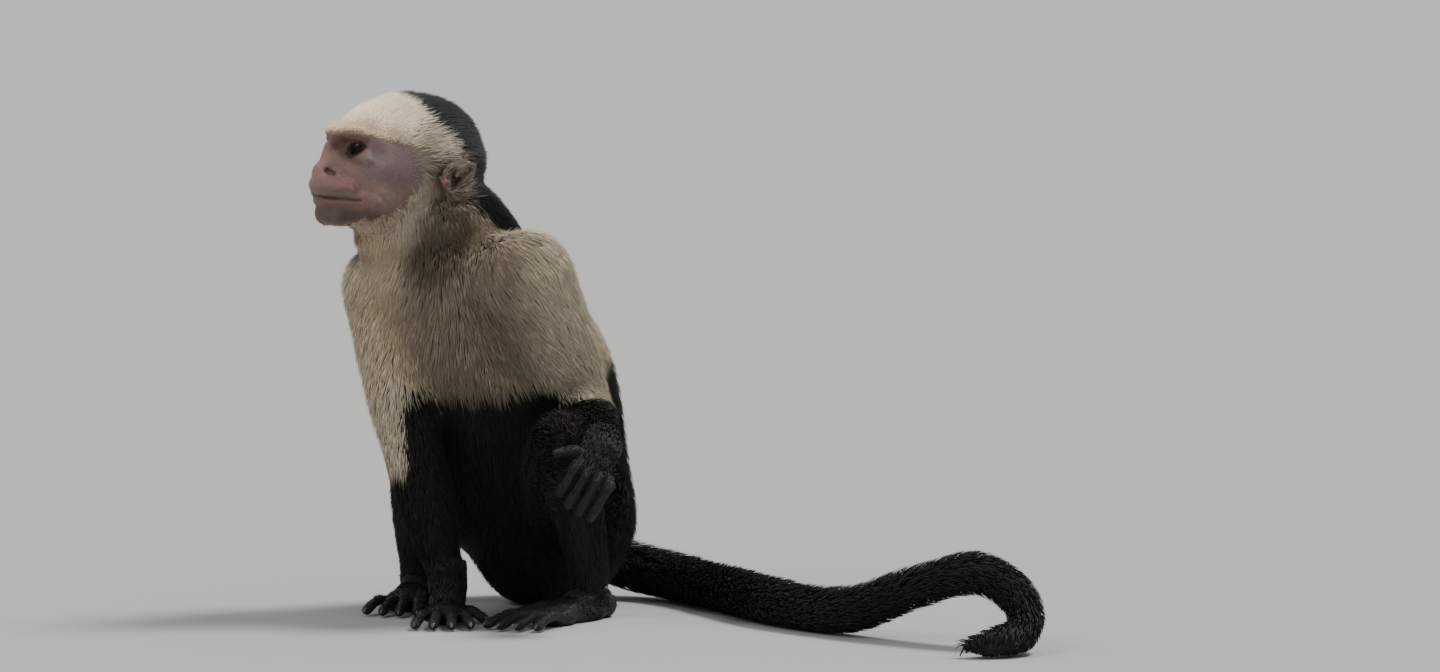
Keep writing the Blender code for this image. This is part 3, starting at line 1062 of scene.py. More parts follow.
@dataclass
class Paws:
    """The four paws, shaped finely over their solids, with a nail on each open digit."""

    smoothing: int = 4
    finger_radius: float = 3.45 * MM
    pitch: float = 7.2
    hand_heading: float = -55.0
    foot_headings: dict[str, float] = field(default_factory=lambda: {"left": -88.0, "right": -63.0})
    sole: float = 70.0
    toe: float = 40.0
    nails: list[Nail] = field(default_factory=list)

    def add_nail(self, digit: Digit) -> None:
        """Notes a nail.

        Args:
            digit: A digit that lies flat.
        """
        along = (digit.tip - digit.root).normalized()
        base = digit.root.lerp(digit.tip, 0.86) + UP * (digit.rise * 0.28 + digit.radius * 0.72)
        point = digit.tip + along * digit.radius * 0.75 + UP * digit.radius * 0.15
        self.nails.append(Nail(base, point, UP, digit.radius * 0.56))

    def finished(
        self, pieces: Sequence[Object], name: str, grid: float = 0.8 * MM, kept: float = 0.42
    ) -> Object:
        """The pieces melted, cut off flat at the floor and thinned.

        Args:
            pieces: Overlapping closed pieces, which are used up.
            name: The paw's name.
            grid: The size of the faces on which they melt.
            kept: The share of its faces that the paw keeps.

        Returns:
            The paw, as one closed mesh.
        """
        obj = melted(pieces, name, grid, self.smoothing)
        places = coordinates(obj)
        places[:, 2] = np.maximum(places[:, 2], 0.25 * MM)
        move_points(obj, places)
        return shaped(obj, "DECIMATE", ratio=kept)

    def fist(self) -> Object:
        """The left hand, closed, with its knuckles up and out and its fingertips tucked under.

        Returns:
            The hand, as one closed mesh.
        """
        low, high = (Vector(corner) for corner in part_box("hand_left"))
        middle = (low + high) / 2 + Vector((-0.2, -1.9, -2.0)) * MM
        wrist = Vector(SOLIDS.joint("forearm_left", "hand_left")) + Vector((3.6, 1.5, 3.8)) * MM
        elbow = wrist + (Vector(SOLIDS.joint("upper_arm_left", "forearm_left")) - wrist).normalized() * 0.020
        across = Vector((0.68, 0.476, -0.56)).normalized()
        down = Vector((-0.41, -0.287, -0.85)).normalized()
        out = down.cross(across).normalized()

        def place(sideways: float, downwards: float, outward: float) -> Vector:
            """A point of the hand, in millimetres from its middle."""
            return middle + (across * sideways + down * downwards + out * outward) * MM

        pieces = [
            ball(wrist.lerp(middle, 0.55), (0.0125, 0.0115, 0.0115)),
            ball(middle - out * 1.5 * MM, (0.0110, 0.0100, 0.0110)),
            tube([(elbow, 0.0088), (wrist, 0.0108), (wrist.lerp(middle, 0.5), 0.0118), (middle, 0.0112)]),
        ]
        bends = ((-7, 5, 1.15), (-4, 7.6, 1.02), (2, 8.8, 0.86), (8, 9.4, 0.84), (12.5, 9.2, 0.98))
        ends = ((16, 5.6, 0.88), (18.4, 1, 0.88), (15, -4.5, 0.82), (9, -8, 0.8))
        for index in range(4):
            sideways = (index - 1.5) * self.pitch * 1.08 + 3.6
            length = (0.84, 1.0, 1.0, 0.97)[index]
            finger = [
                (place(sideways, downwards * length, outward), self.finger_radius * share * 0.95)
                for downwards, outward, share in bends + ends
            ]
            bone = [(wrist.lerp(middle, 0.45), 0.005), (finger[0][0], self.finger_radius * 1.05)]
            pieces += [tube(finger), tube(bone)]
        thumb = (
            (wrist.lerp(middle, 0.5), 0.006),
            (place(-12, -11, 0), self.finger_radius * 1.15),
            (place(-17.5, -8, 3), self.finger_radius * 0.95),
            (place(-23.5, -2.5, 5), self.finger_radius * 0.80),
        )
        pieces.append(tube(thumb))
        return self.finished(pieces, "hand_left_skin", 0.62 * MM, 0.30)

    def open_hand(self) -> Object:
        """The right hand, flat on the ground, with its fingers forward and its thumb out to the side.

        Returns:
            The hand, as one closed mesh.
        """
        turn = heading(self.hand_heading)
        wrist = Vector(SOLIDS.joint("forearm_right", "hand_right")) + turn @ Vector((-3.9, 2.3, -1.3)) * MM
        start = Vector((wrist.x, wrist.y, 0.0))

        def place(forward: float, left: float, up: float) -> Vector:
            """A point of the hand, in millimetres from below the wrist."""
            return start + turn @ Vector((forward, left, up)) * MM

        back = [(wrist, 0.0112), (place(6, 0, 13), 0.0110), (place(16, 0, 9), 0.009)]
        pieces = [
            tube([(wrist + UP * 0.016, 0.0092), *back]),
            ball(place(18, 0, 6.2), Vector((16.5, 13.0, 7.0)) * MM, turn),
        ]
        digits = []
        for index in range(4):
            left = (index - 1.5) * self.pitch
            root = place(28 - 0.8 * abs(index - 1.5), left * 0.95, 5.0)
            tip = place(65 - 3.0 * abs(index - 1.6), left * 1.6, 3.2)
            digits.append(Digit(root, tip, self.finger_radius, 3.2 * MM))
            pieces.append(tube([(place(8, left * 0.4, 9.5), 0.0045), (root + UP * 0.0012, 0.0036)]))
        digits.append(Digit(place(8, 9, 6), place(27, 25, 3.2), self.finger_radius * 1.05, 2.3 * MM))
        for digit in digits:
            pieces.append(tube(digit.stations()))
            self.add_nail(digit)
        return self.finished(pieces, "hand_right_skin")

    def foot(self, side: str) -> Object:
        """A foot flat on the ground, with four long toes forward and the great toe set apart.

        Args:
            side: Which foot, left or right.

        Returns:
            The foot, as one closed mesh.
        """
        turn = heading(self.foot_headings[side])
        inner = -SIDES[side]
        ankle = Vector(SOLIDS.joint(f"shin_{side}", f"foot_{side}")) + turn @ Vector((-6.5, 0, 0.7)) * MM
        heel = Vector((ankle.x, ankle.y, 0.0)) + turn @ Vector((-14, 0, 0)) * MM

        def place(forward: float, inward: float, up: float) -> Vector:
            """A point of the foot, in millimetres from its heel."""
            return heel + turn @ Vector((forward, inner * inward, up)) * MM

        pieces = [
            ball(place(6, 0, 7.8), Vector((12.5, 10.5, 9.6)) * MM, turn),
            tube([(ankle, 0.0122), (place(16, 0, 13), 0.0115), (place(36, 0, 9), 0.0090)]),
            ball(place(self.sole * 0.45, 0, 5.4), Vector((34, 12.0, 8.2)) * MM, turn),
            ball(place(self.sole * 0.80, 0, 4.4), Vector((17, 14.0, 6.6)) * MM, turn),
        ]
        digits = []
        for index in range(4):
            inward = (1.5 - index) * self.pitch
            root = place(self.sole - 4 - 1.5 * index, inward * 0.95, 4.5)
            reach = self.sole - 1 + self.toe - 3.2 * abs(index - 1.3) - 1.5 * index
            digits.append(Digit(root, place(reach, inward * 1.6, 3.2), self.finger_radius, 4.2 * MM))
            bone = [(place(34, inward * 0.45, 10.5), 0.0042), (root + UP * 0.0014, 0.0036)]
            pieces.append(tube(bone))
        digits.append(Digit(place(27, 8, 6), place(56, 31, 3.6), self.finger_radius * 1.25, 3.2 * MM))
        for digit in digits:
            pieces.append(tube(digit.stations()))
            self.add_nail(digit)
        return self.finished(pieces, f"foot_{side}_skin")

    def build(self) -> list[Object]:
        """The four paws as closed meshes, ready to be joined to the skin."""
        return [self.fist(), self.open_hand(), *(self.foot(side) for side in SIDES)]

    def build_nails(self) -> Object:
        """All the nails as one piece."""
        return joined([nail.build() for nail in self.nails], "nails")


@dataclass
class Ears:
    """The ears, grown finer from their solids, with a rolled rim, an inner ridge and a flap at the hole."""

    grid: float = 0.8 * MM
    smoothing: int = 6
    faces: float = 0.6
    height: float = 0.76  # share of the solid's height, whose rest is hair
    drop: float = 4.0  # mm

    def build(self, side: str) -> Object:
        """Shapes one ear.

        Args:
            side: Which ear, left or right.

        Returns:
            The ear, as one closed mesh.
        """
        sign = SIDES[side]
        flap = copied(f"ear_{side}", 0.3 * MM)
        shaped(flap, "SUBSURF", levels=1, render_levels=1)
        local = HEAD.local(coordinates(flap))
        centre = local.mean(axis=0)

        def at(forward: float, out: float, up: float) -> Vector:
            """A point of the ear, in millimetres from its middle."""
            return Vector(HEAD.world(centre + np.array([forward, sign * out, up])))

        rim = []
        for step in range(9):
            angle = math.radians(-70 + 30 * step)
            back, height = -9.8 * math.cos(angle - 1.1), 12.6 * math.sin(angle)
            rim.append((at(back * 0.92 - 0.5, 3.2 + 0.32 * abs(back) / 3, height), 1.5 * MM))
        ridge = [(at(1, 2.2, 7), 0.0012), (at(-3.5, 2.8, 1), 0.0014), (at(-0.5, 2.6, -6), 0.0012)]
        tragus = [(at(9.5, -1.0, 2.5), 0.0018), (at(9.0, 1.8, -1.0), 0.0023), (at(8, 0, -5), 0.0017)]
        pieces = [flap, tube(rim), tube(ridge), tube(tragus)]
        obj = melted(pieces, f"ear_{side}_skin", self.grid, self.smoothing)
        places = HEAD.local(coordinates(obj))
        places[:, 2] = (places[:, 2] - centre[2]) * self.height + centre[2] - self.drop
        move_points(obj, HEAD.world(places))
        return shaped(obj, "DECIMATE", ratio=self.faces)


def copied(node: str, swell: float) -> Object:
    """A copy of a solid with its doubles merged, grown outwards a little.

    Args:
        node: The node's name.
        swell: How far it is grown.

    Returns:
        The copy, without a material.
    """
    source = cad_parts[node]
    obj = linked(f"{node}_copy", source.data.copy())
    obj.data.materials.clear()
    without_doubles(obj, 0.02 * MM)
    return shaped(obj, "DISPLACE", strength=swell, mid_level=0.0)


# ---------------- the skin


@dataclass(frozen=True)
class Stroke:
    """One touch of the modelling tool on the face: a line along which the skin is pushed out or in."""

    line: tuple[Place, ...]
    reach: float
    push: float  # outwards, in millimetres; negative presses in

    def amount(self, local: Array) -> Array:
        """How far each place is pushed, with left made positive."""
        away = line_distance(local, self.line if len(self.line) > 1 else self.line * 2)
        return self.push * ramp(away, self.reach, 0.0)


@dataclass(frozen=True)
class Lids:
    """The opening between the eyelids, in degrees round the eyeball's centre."""

    middle: float = 17.0  # outwards from straight ahead
    half_width: float = 53.0
    upper: float = 27.0
    lower: float = 24.0
    slant: float = 11.0
    thickness: float = 1.0  # mm over the eyeball
    behind: float = -1.6  # mm under its surface, where the opening is
    folds: float = 0.28

    def outside(self, azimuth: Array, height: Array) -> Array:
        """How many degrees each direction lies outside the opening.

        Args:
            azimuth: Outwards from straight ahead.
            height: Above the eye's middle.

        Returns:
            Degrees, negative inside the opening.
        """
        share = (azimuth - self.middle) / self.half_width
        arch = np.maximum(1.0 - np.minimum(np.abs(share), 1.0) ** 2.2, 0.0) ** 0.75
        centre = self.slant * share
        top = centre + self.upper * arch
        bottom = centre - self.lower * arch
        beyond = (np.abs(share) - 1.0) * self.half_width
        return np.maximum(np.maximum(height - top, bottom - height), beyond)


@dataclass
class Skin:
    """The one skin that stands for all the flesh, under the coat."""

    grid: float = 2.2 * MM
    swell: float = 0.5 * MM
    smoothing: int = 4
    steps: int = 4
    hidden_faces: float = 0.30  # share of the faces kept
    lid_smoothing: int = 6
    lids: Lids = Lids()
    strokes: tuple[Stroke, ...] = (
        # The hollow bridge, its narrow ridge, and the bump under it
        Stroke(((9, 0, 2), (12, 0, -6)), 8.0, -1.8),
        Stroke(((6, 0, 8), (9, 0, 0), (12, 0, -7)), 2.6, 1.1),
        Stroke(((10, 4.0, -8.0), (5.5, 8.5, -9.5)), 3.4, 2.0),
        # The broad tip, the rims of the nostrils, and the nostrils
        Stroke(((18, 0, -13), (20, 0, -20)), 8.0, 1.6),
        Stroke(((14, 3.5, -9.5), (11, 8.5, -11), (7.5, 9.8, -14)), 2.4, 1.3),
        Stroke(((14, 5.5, -17.5), (9, 9, -17.5)), 2.4, 0.8),
        Stroke(((13.8, 6.0, -13.0), (10.2, 8.6, -14.8)), 2.2, -3.4),
        # The groove under the nose and the crease from its wing to the corner of the mouth
        Stroke(((21, 0, -21), (21, 0, -26)), 2.2, -0.7),
        Stroke(((7, 11.5, -13), (2.5, 15.5, -18), (-1.5, 21, -24)), 2.8, -1.7),
        Stroke(((5, 10.5, -6), (-1, 16, -15), (-8, 24, -19)), 2.2, -0.7),
        # The pads of the upper lip
        Stroke(((16, 6.0, -22.0), (9, 13, -22.5), (3, 18.5, -24.5)), 5.0, 2.2),
        # The mouth's line and the two lips beside it
        Stroke(
            ((23, 0, -29), (16.5, 0, -29), (18.5, 5, -29.4), (15.5, 10.6, -30), (7, 17.3, -30.8)), 1.1, -1.2
        ),
        Stroke(((7, 17.3, -30.8), (-1, 23.2, -31)), 0.9, -0.8),
        Stroke(((20, 0, -26.5), (15.2, 10.3, -27.8), (7, 17, -28.6), (0, 22, -29)), 2.0, 0.7),
        Stroke(((19, 0, -31.8), (14.2, 10, -32.6), (6, 16.5, -33.2), (-1, 22.5, -33)), 2.2, 0.9),
        # The full rounded chin, the hollow over it, and the flesh under the jaw
        Stroke(((17, 0, -34.8), (11, 9.5, -35.8)), 2.4, -0.6),
        Stroke(((16, 0, -40), (9, 7, -43)), 9.0, 3.2),
        Stroke(((4, 0, -49), (-12, 8, -50)), 11.0, 2.0),
        # The brow over the eye and the hollow between brow and eye
        Stroke(((4, 3, 8.5), (2, 14, 9), (-6, 23, 7)), 6.5, 2.8),
        Stroke(((-2, 23, 7), (-4, 25.5, 1), (-5, 25, -6)), 6.0, 3.0),
        Stroke(((3, 9, 4.5), (-1, 17, 5)), 3.5, -1.4),
        Stroke(((5, 5, 4), (3.5, 7, -2)), 4.0, -1.7),
        # The pouch under the eye and its crease
        Stroke(((3, 12, -10), (-2, 19, -12), (-8, 24, -9)), 2.2, -0.6),
        Stroke(((4, 11, -13), (-1, 19, -15.5)), 4.0, 0.9),
        # The cheek's swell and the folds that run back from the mouth
        Stroke(((-12, 28, -12), (-18, 30, -18)), 12.0, 1.3),
        Stroke(((-2, 23.5, -22), (-10, 27, -27), (-18, 29, -35)), 3.0, -0.8),
        Stroke(((-2.5, 24.2, -31), (-6, 25, -36), (-7, 23, -42)), 2.6, -0.9),
    )
    obj: Optional[Object] = None

    def fuse_flesh(self) -> Object:
        """Melts all the solids of flesh, and the eyeballs, into one surface.

        Returns:
            The surface.
        """
        nodes = (*FLESH, *parts_of("eye"))
        copies = [copied(node, self.swell) for node in nodes]
        return melted(copies, "skin", self.grid, self.smoothing)

    def weigh(self, name: str, weights: Array) -> str:
        """Stores a weight for each point of the skin.

        Args:
            name: The vertex group's name.
            weights: Numbers from 0 to 1.

        Returns:
            The group's name.
        """
        old = self.obj.vertex_groups.get(name)
        if old:
            self.obj.vertex_groups.remove(old)
        group = self.obj.vertex_groups.new(name=name)
        for index, weight in enumerate(weights.tolist()):
            group.add((index,), weight, "REPLACE")
        return name

    def thin(self) -> None:
        """Sinks the surface by the coat's depth, in a few steps with a little smoothing between."""
        depth = Web(self.obj).even(CoatDepth().at(sites_of(self.obj)), 14)
        deepest = depth.max()
        sunk = self.weigh("sunk", depth / deepest)
        soft = self.weigh("soft", ramp(depth, 1.0, 5.0))
        for _ in range(self.steps):
            strength = -(deepest * MM) / self.steps
            shaped(self.obj, "DISPLACE", strength=strength, mid_level=0.0, vertex_group=sunk)
            shaped(self.obj, "SMOOTH", factor=0.5, iterations=2, vertex_group=soft)
        self.obj.vertex_groups.clear()

    def lighten(self) -> None:
        """Gives the body, which the coat hides, fewer and larger faces than the head."""
        local = HEAD.local(coordinates(self.obj))
        away = lengths(local - [-15, 0, -18])
        hidden = self.weigh("hidden", ramp(away, 52, 62))
        shaped(self.obj, "DECIMATE", ratio=self.hidden_faces, vertex_group=hidden)
        self.obj.vertex_groups.clear()

    def refine(self, where: Array, rounds: int) -> None:
        """Halves the faces around some points and evens out what it made.

        Args:
            where: True for each point whose faces are halved.
            rounds: How often the place is smoothed.
        """
        choose(self.obj, Items.VERT, where)
        bpy.ops.mesh.subdivide(number_cuts=1, smoothness=0.6)
        bpy.ops.mesh.vertices_smooth(factor=0.5, repeat=rounds)
        bpy.ops.mesh.select_all(action="DESELECT")
        bpy.ops.object.mode_set(mode="OBJECT")

    def refine_face(self) -> None:
        """Makes the face's mesh fine enough for lids, nostrils and lips."""
        for back, half_width, low, high, rounds in ((-46, 40, -52, 24, 2), (-20, 30, -46, 15, 3)):
            forward, across, up = HEAD.local(coordinates(self.obj)).T
            where = (forward > back) & (np.abs(across) < half_width) & (up > low) & (up < high)
            self.refine(where, rounds)

    def sculpt(self) -> None:
        """Models the face with the strokes, then lays the lids round the eyeballs."""
        points = coordinates(self.obj)
        local = HEAD.local(points)
        normals = normals_of(self.obj) @ HEAD.axes.T
        face = (local[:, 0] > -46) & (np.abs(local[:, 1]) < 42) & (local[:, 2] > -54)
        left = mirrored(local)
        amount = sum(stroke.amount(left) for stroke in self.strokes)
        local = local + normals * (amount * face)[:, None]
        for sign in SIDES.values():
            local = self.lay_lids(local, sign, face)
        move_points(self.obj, HEAD.world(local))

    def lay_lids(self, local: Array, sign: float, face: Array) -> Array:
        """Fits the skin round one eyeball, with an almond opening.

        Args:
            local: The skin's places in the head.
            sign: 1 for the left eye and -1 for the right.
            face: Which places belong to the face.

        Returns:
            The new places.
        """
        centre = HEAD.eye(sign)
        azimuth, height, distance = eye_angles(local, sign)
        outside = self.lids.outside(azimuth, height)
        radius = HEAD.eye_radius
        lid = radius + self.lids.thickness
        lid = lid + self.lids.folds * np.sin(outside * 0.75) * ramp(outside, 2, 6) * ramp(outside, 26, 12)
        open_surface = radius + self.lids.behind
        wanted = open_surface + (lid - open_surface) * ramp(outside, -4.0, 1.0)
        wanted = np.maximum(wanted, np.where(outside > 2, np.minimum(distance, wanted + 1.5), wanted))
        share = ramp(outside, 32, 6) * face * ramp(distance, radius + 9, radius + 4)
        local = blended(local, centre + (local - centre) / distance[:, None] * wanted[:, None], share)
        ring = ramp(outside, 3, 8) * ramp(outside, 44, 30) * (azimuth > -110) * (azimuth < 130) * face
        web = Web(self.obj)
        for _ in range(self.lid_smoothing):
            local = blended(local, web.even(local, 1), ring)
        return local

    def unite(self, piece: Object) -> None:
        """Joins a closed piece to the skin, so that they are one surface."""
        shaped(self.obj, "BOOLEAN", operation="UNION", solver="MANIFOLD", object=piece)
        bpy.data.objects.remove(piece)

    def drop_flaps(self) -> None:
        """Deletes triangles that hang on the surface by one edge, which the unions leave here and there."""
        mesh = self.obj.data
        edges = read(mesh.loops, "edge_index")
        single = np.bincount(edges, minlength=len(mesh.edges)) == 1
        choose(self.obj, Items.FACE, single[edges].reshape(-1, 3).sum(axis=1) > 1)
        bpy.ops.mesh.delete(type="FACE")
        bpy.ops.object.mode_set(mode="OBJECT")

    def build(self, limbs: Sequence[Object]) -> Object:
        """Makes the whole skin.

        Args:
            limbs: The finely shaped paws and ears, which are used up.

        Returns:
            The skin, in triangles, without its material.
        """
        self.obj = self.fuse_flesh()
        self.thin()
        self.lighten()
        self.refine_face()
        self.sculpt()
        for piece in limbs:
            self.unite(piece)
        shaped(self.obj, "TRIANGULATE")
        self.drop_flaps()
        bpy.ops.object.shade_smooth()
        paint(self.obj, MARKINGS.skin(sites_of(self.obj)))
        return self.obj


# ---------------- eyes


@dataclass
class Eye:
    """An eyeball with a bulging cornea, mapped round its line of sight for the iris and the pupil."""

    side: str
    segments: int = 64
    rings: int = 48
    gaze_out: float = 14.0  # degrees outwards from straight ahead
    gaze_up: float = 0.0
    cornea_reach: float = 40.0  # degrees from the line of sight
    cornea_rise: float = 0.085  # share of the radius
    shrink: float = 0.994

    def build(self) -> Object:
        """Shapes the eyeball from a ball whose pole faces forwards.

        Returns:
            The eyeball, with a map where u turns round the line of sight and v runs away from it.
        """
        deselect()
        bpy.ops.mesh.primitive_uv_sphere_add(segments=self.segments, ring_count=self.rings, radius=1.0)
        obj = bpy.context.object
        obj.name = f"eyeball_{self.side}"
        places = coordinates(obj)
        angle = np.degrees(np.arccos(np.clip(places[:, 2], -1, 1)))
        rise = self.cornea_rise * np.cos(np.radians(np.minimum(angle / self.cornea_reach, 1.0) * 90)) ** 2
        move_points(obj, places * (1.0 + rise[:, None]) * HEAD.eye_radius * self.shrink * MM)
        obj.data.transform(self.turn())
        self.map_round(obj, angle)
        obj.data.shade_smooth()
        return obj

    def turn(self) -> Matrix:
        """Finds how the ball sits in its socket, with its pole along the line of sight.

        Returns:
            The matrix that puts it there.
        """
        sign = SIDES[self.side]
        out, up = math.radians(self.gaze_out), math.radians(self.gaze_up)
        look = np.array([math.cos(out) * math.cos(up), sign * math.sin(out) * math.cos(up), math.sin(up)])
        pole = Vector(look @ HEAD.axes)
        across = UP.cross(pole).normalized()
        axes = Matrix((across, pole.cross(across), pole)).transposed().to_4x4()
        return Matrix.Translation(HEAD.world(HEAD.eye(sign))) @ axes

    def map_round(self, obj: Object, angle: Array) -> None:
        """Writes each corner's distance from the line of sight, in half turns, as its v.

        Args:
            obj: The eyeball, whose own map already turns u round the pole.
            angle: The degrees from the pole at each point.
        """
        layer = obj.data.uv_layers.active
        values = read(layer.uv, "vector", 2, np.float32)
        values[:, 1] = angle[corner_points(obj.data)] / 180.0
        layer.uv.foreach_set("vector", values.ravel())


# ---------------- finishes


class Sock:
    """A value inside a material, on which Python's own signs add Math nodes."""

    def __init__(self, paint_box: "Finish", socket: bpy.types.NodeSocket) -> None:
        """Wraps a node's output."""
        self.box = paint_box
        self.socket = socket

    def math(self, operation: str, first: Entry, second: Entry = 0.0) -> "Sock":
        """One Math node on two values."""
        return self.box.node("Math", {"operation": operation}, {0: first, 1: second})

    def __add__(self, other: Entry) -> "Sock":
        """self + other."""
        return self.math("ADD", self, other)

    __radd__ = __add__

    def __sub__(self, other: Entry) -> "Sock":
        """self - other."""
        return self.math("SUBTRACT", self, other)

    def __rsub__(self, other: Entry) -> "Sock":
        """other - self."""
        return self.math("SUBTRACT", other, self)

    def __mul__(self, other: Entry) -> "Sock":
        """self * other."""
        return self.math("MULTIPLY", self, other)

    __rmul__ = __mul__

    def rise(self, start: float, end: float) -> "Sock":
        """A smooth change from 0 at start to 1 at end."""
        settings = {"interpolation_type": "SMOOTHSTEP"}
        return self.box.node("MapRange", settings, {"Value": self, "From Min": start, "From Max": end})


class Finish:
    """A material in the making: a Principled shader and the nodes that feed it."""

    def __init__(self, name: str, constants: dict[str, object]) -> None:
        """Starts a material.

        Args:
            name: The material's name.
            constants: The shader's sockets that are the same all over.
        """
        self.material = bpy.data.materials.new(name)
        self.material.use_nodes = True
        self.tree = self.material.node_tree
        self.shader = self.tree.nodes["Principled BSDF"]
        for socket, value in constants.items():
            self.shader.inputs[socket].default_value = value

    def node(
        self,
        kind: str,
        settings: Optional[dict[str, object]] = None,
        inputs: Optional[dict[Union[int, str], Entry]] = None,
        output: Union[int, str] = 0,
    ) -> Sock:
        """Adds a node.

        Args:
            kind: The node's type, without its ShaderNode.
            settings: Its own properties, set before its sockets. A ramp's stops go under "stops".
            inputs: Values or links for its sockets.
            output: Which output is wanted.

        Returns:
            The wanted output.
        """
        made = self.tree.nodes.new("ShaderNode" + kind)
        for name, value in (settings or {}).items():
            if name == "stops":
                self.set_stops(made.color_ramp, value)
            else:
                setattr(made, name, value)
        for name, value in (inputs or {}).items():
            self.feed(made.inputs[name], value)
        return Sock(self, made.outputs[output])

    @staticmethod
    def set_stops(colour_ramp: bpy.types.ColorRamp, stops: Sequence[tuple[float, Colour]]) -> None:
        """Gives a ramp its places and colours.

        Args:
            colour_ramp: The ramp.
            stops: Its places, each with the colour there.
        """
        while len(colour_ramp.elements) < len(stops):
            colour_ramp.elements.new(0.5)
        for element, (place, colour) in zip(colour_ramp.elements, stops):
            element.position = place
            element.color = (*colour, 1.0)

    def feed(self, socket: bpy.types.NodeSocket, value: Entry) -> None:
        """Links or sets a socket.

        Args:
            socket: The socket to fill.
            value: What goes in: another node's output, a colour or a number.
        """
        if isinstance(value, Sock):
            self.tree.links.new(value.socket, socket)
        elif isinstance(value, tuple) and len(value) == 3 and socket.type == "RGBA":
            socket.default_value = (*value, 1.0)
        else:
            socket.default_value = value

    def place(self) -> Sock:
        """The Object coordinates."""
        return self.node("TexCoord", output="Object")

    def noise(self, vector: Sock, scale: float, detail: float = 3.0, roughness: float = 0.55) -> Sock:
        """Noise between 0 and 1."""
        inputs = {"Vector": vector, "Scale": scale, "Detail": detail, "Roughness": roughness}
        return self.node("TexNoise", {"noise_dimensions": "3D"}, inputs, "Fac")

    def cells(self, vector: Sock, scale: float, feature: str = "DISTANCE_TO_EDGE") -> Sock:
        """Distance inside small cells, for pores and creases."""
        return self.node("TexVoronoi", {"feature": feature}, {"Vector": vector, "Scale": scale}, "Distance")

    def tone(self) -> Sock:
        """The colour stored at the mesh's points."""
        return self.node("Attribute", {"attribute_name": TONE}, output="Color")

    def mix(self, share: Entry, first: Entry, second: Entry, blend: str = "MIX") -> Sock:
        """Two colours mixed."""
        settings = {"data_type": "RGBA", "blend_type": blend}
        return self.node("Mix", settings, {0: share, 6: first, 7: second}, 2)

    def lit(self, colour: Sock, factor: Sock) -> Sock:
        """A colour made lighter or darker by a number."""
        settings = {"operation": "SCALE"}
        return self.node("VectorMath", settings, {0: colour, "Scale": factor})

    def bump(self, height: Sock, strength: float, distance: float) -> Sock:
        """A relief from a height."""
        return self.node("Bump", {}, {"Height": height, "Strength": strength, "Distance": distance}, "Normal")

    def wear(self, **entries: Entry) -> Material:
        """Links the shader's varying sockets and gives the material.

        Args:
            entries: Base_Color, Roughness, Normal and so on, with _ for a space.

        Returns:
            The finished material.
        """
        for name, value in entries.items():
            self.feed(self.shader.inputs[name.replace("_", " ")], value)
        return self.material


@dataclass(frozen=True)
class SkinFinish:
    """Bare skin: mottled, finely creased, softly lit from inside, its roughness varying with the mottling and
    the creases.
    """

    mottle_scale: float = 260.0
    pore_scale: float = 1500.0
    crease_scale: float = 900.0
    roughness: float = 0.56

    def material(self) -> Material:
        """Makes the material.

        Returns:
            The finished material.
        """
        constants = {
            "Subsurface Weight": 0.12,
            "Subsurface Radius": (0.0030, 0.0012, 0.0008),
            "Subsurface Scale": 1.0,
            "Specular IOR Level": 0.32,
        }
        box = Finish("monkey_skin", constants)
        place = box.place()
        mottle = box.noise(place, self.mottle_scale, 4.0, 0.6)
        broad = box.noise(place, self.mottle_scale / 5.0, 2.0)
        colour = box.lit(box.tone(), 0.48 + 0.62 * mottle + 0.42 * broad)
        flush = box.noise(place, self.mottle_scale / 3.0, 2.0).rise(0.52, 0.72)
        colour = box.mix(flush * 0.35, colour, (1.0, 0.62, 0.58), "MULTIPLY")
        stretched = box.node("Mapping", {"vector_type": "POINT"}, {"Vector": place, "Scale": (1.0, 1.0, 1.7)})
        creases = box.cells(stretched, self.crease_scale).rise(0.0, 0.12)
        pores = box.cells(place, self.pore_scale, "F1").rise(0.0, 0.55)
        fine = box.noise(stretched, self.pore_scale, 5.0, 0.65)
        lumps = box.noise(place, self.mottle_scale, 3.0, 0.6)
        relief = box.bump(creases * 0.14 + pores * 0.3 + fine * 0.6 + lumps * 2.4, 0.7, 0.0007)
        roughness = self.roughness + 0.16 * (mottle - 0.5) - 0.1 * (1.0 - creases)
        return box.wear(Base_Color=colour, Roughness=roughness, Normal=relief)


@dataclass(frozen=True)
class EyeFinish:
    """A dark wet eye: brown iris with radial fibres, black pupil, dark edge and a brownish white."""

    pupil: float = 0.095  # in half turns from the line of sight
    iris: float = 0.235

    def material(self) -> Material:
        """Makes the material.

        Returns:
            The finished material.
        """
        constants = {"Specular IOR Level": 0.09, "Roughness": 0.05}
        box = Finish("monkey_eye", constants)
        chart = box.node("TexCoord", output="UV")
        out = box.node("SeparateXYZ", {}, {0: chart}, 1)
        fibres = box.node("Mapping", {"vector_type": "POINT"}, {"Vector": chart, "Scale": (1.0, 0.06, 1.0)})
        strands = box.noise(fibres, 60.0, 3.0, 0.6)
        flecks = box.noise(box.place(), 1100.0, 3.0)
        stops = ((0.0, (0.006, 0.003, 0.002)), (0.5, (0.016, 0.008, 0.004)), (1.0, (0.040, 0.018, 0.009)))
        iris = box.node("ValToRGB", {"stops": stops}, {0: strands * 0.8 + flecks * 0.25})
        iris = box.mix(out.rise(self.iris * 0.75, self.iris), iris, (0.010, 0.006, 0.004))
        white = box.mix(box.noise(box.place(), 500.0), (0.025, 0.014, 0.010), (0.060, 0.036, 0.027))
        colour = box.mix(out.rise(self.iris - 0.012, self.iris + 0.012), iris, white)
        colour = box.mix(out.rise(self.pupil - 0.006, self.pupil + 0.006), (0.002, 0.002, 0.002), colour)
        return box.wear(Base_Color=colour)


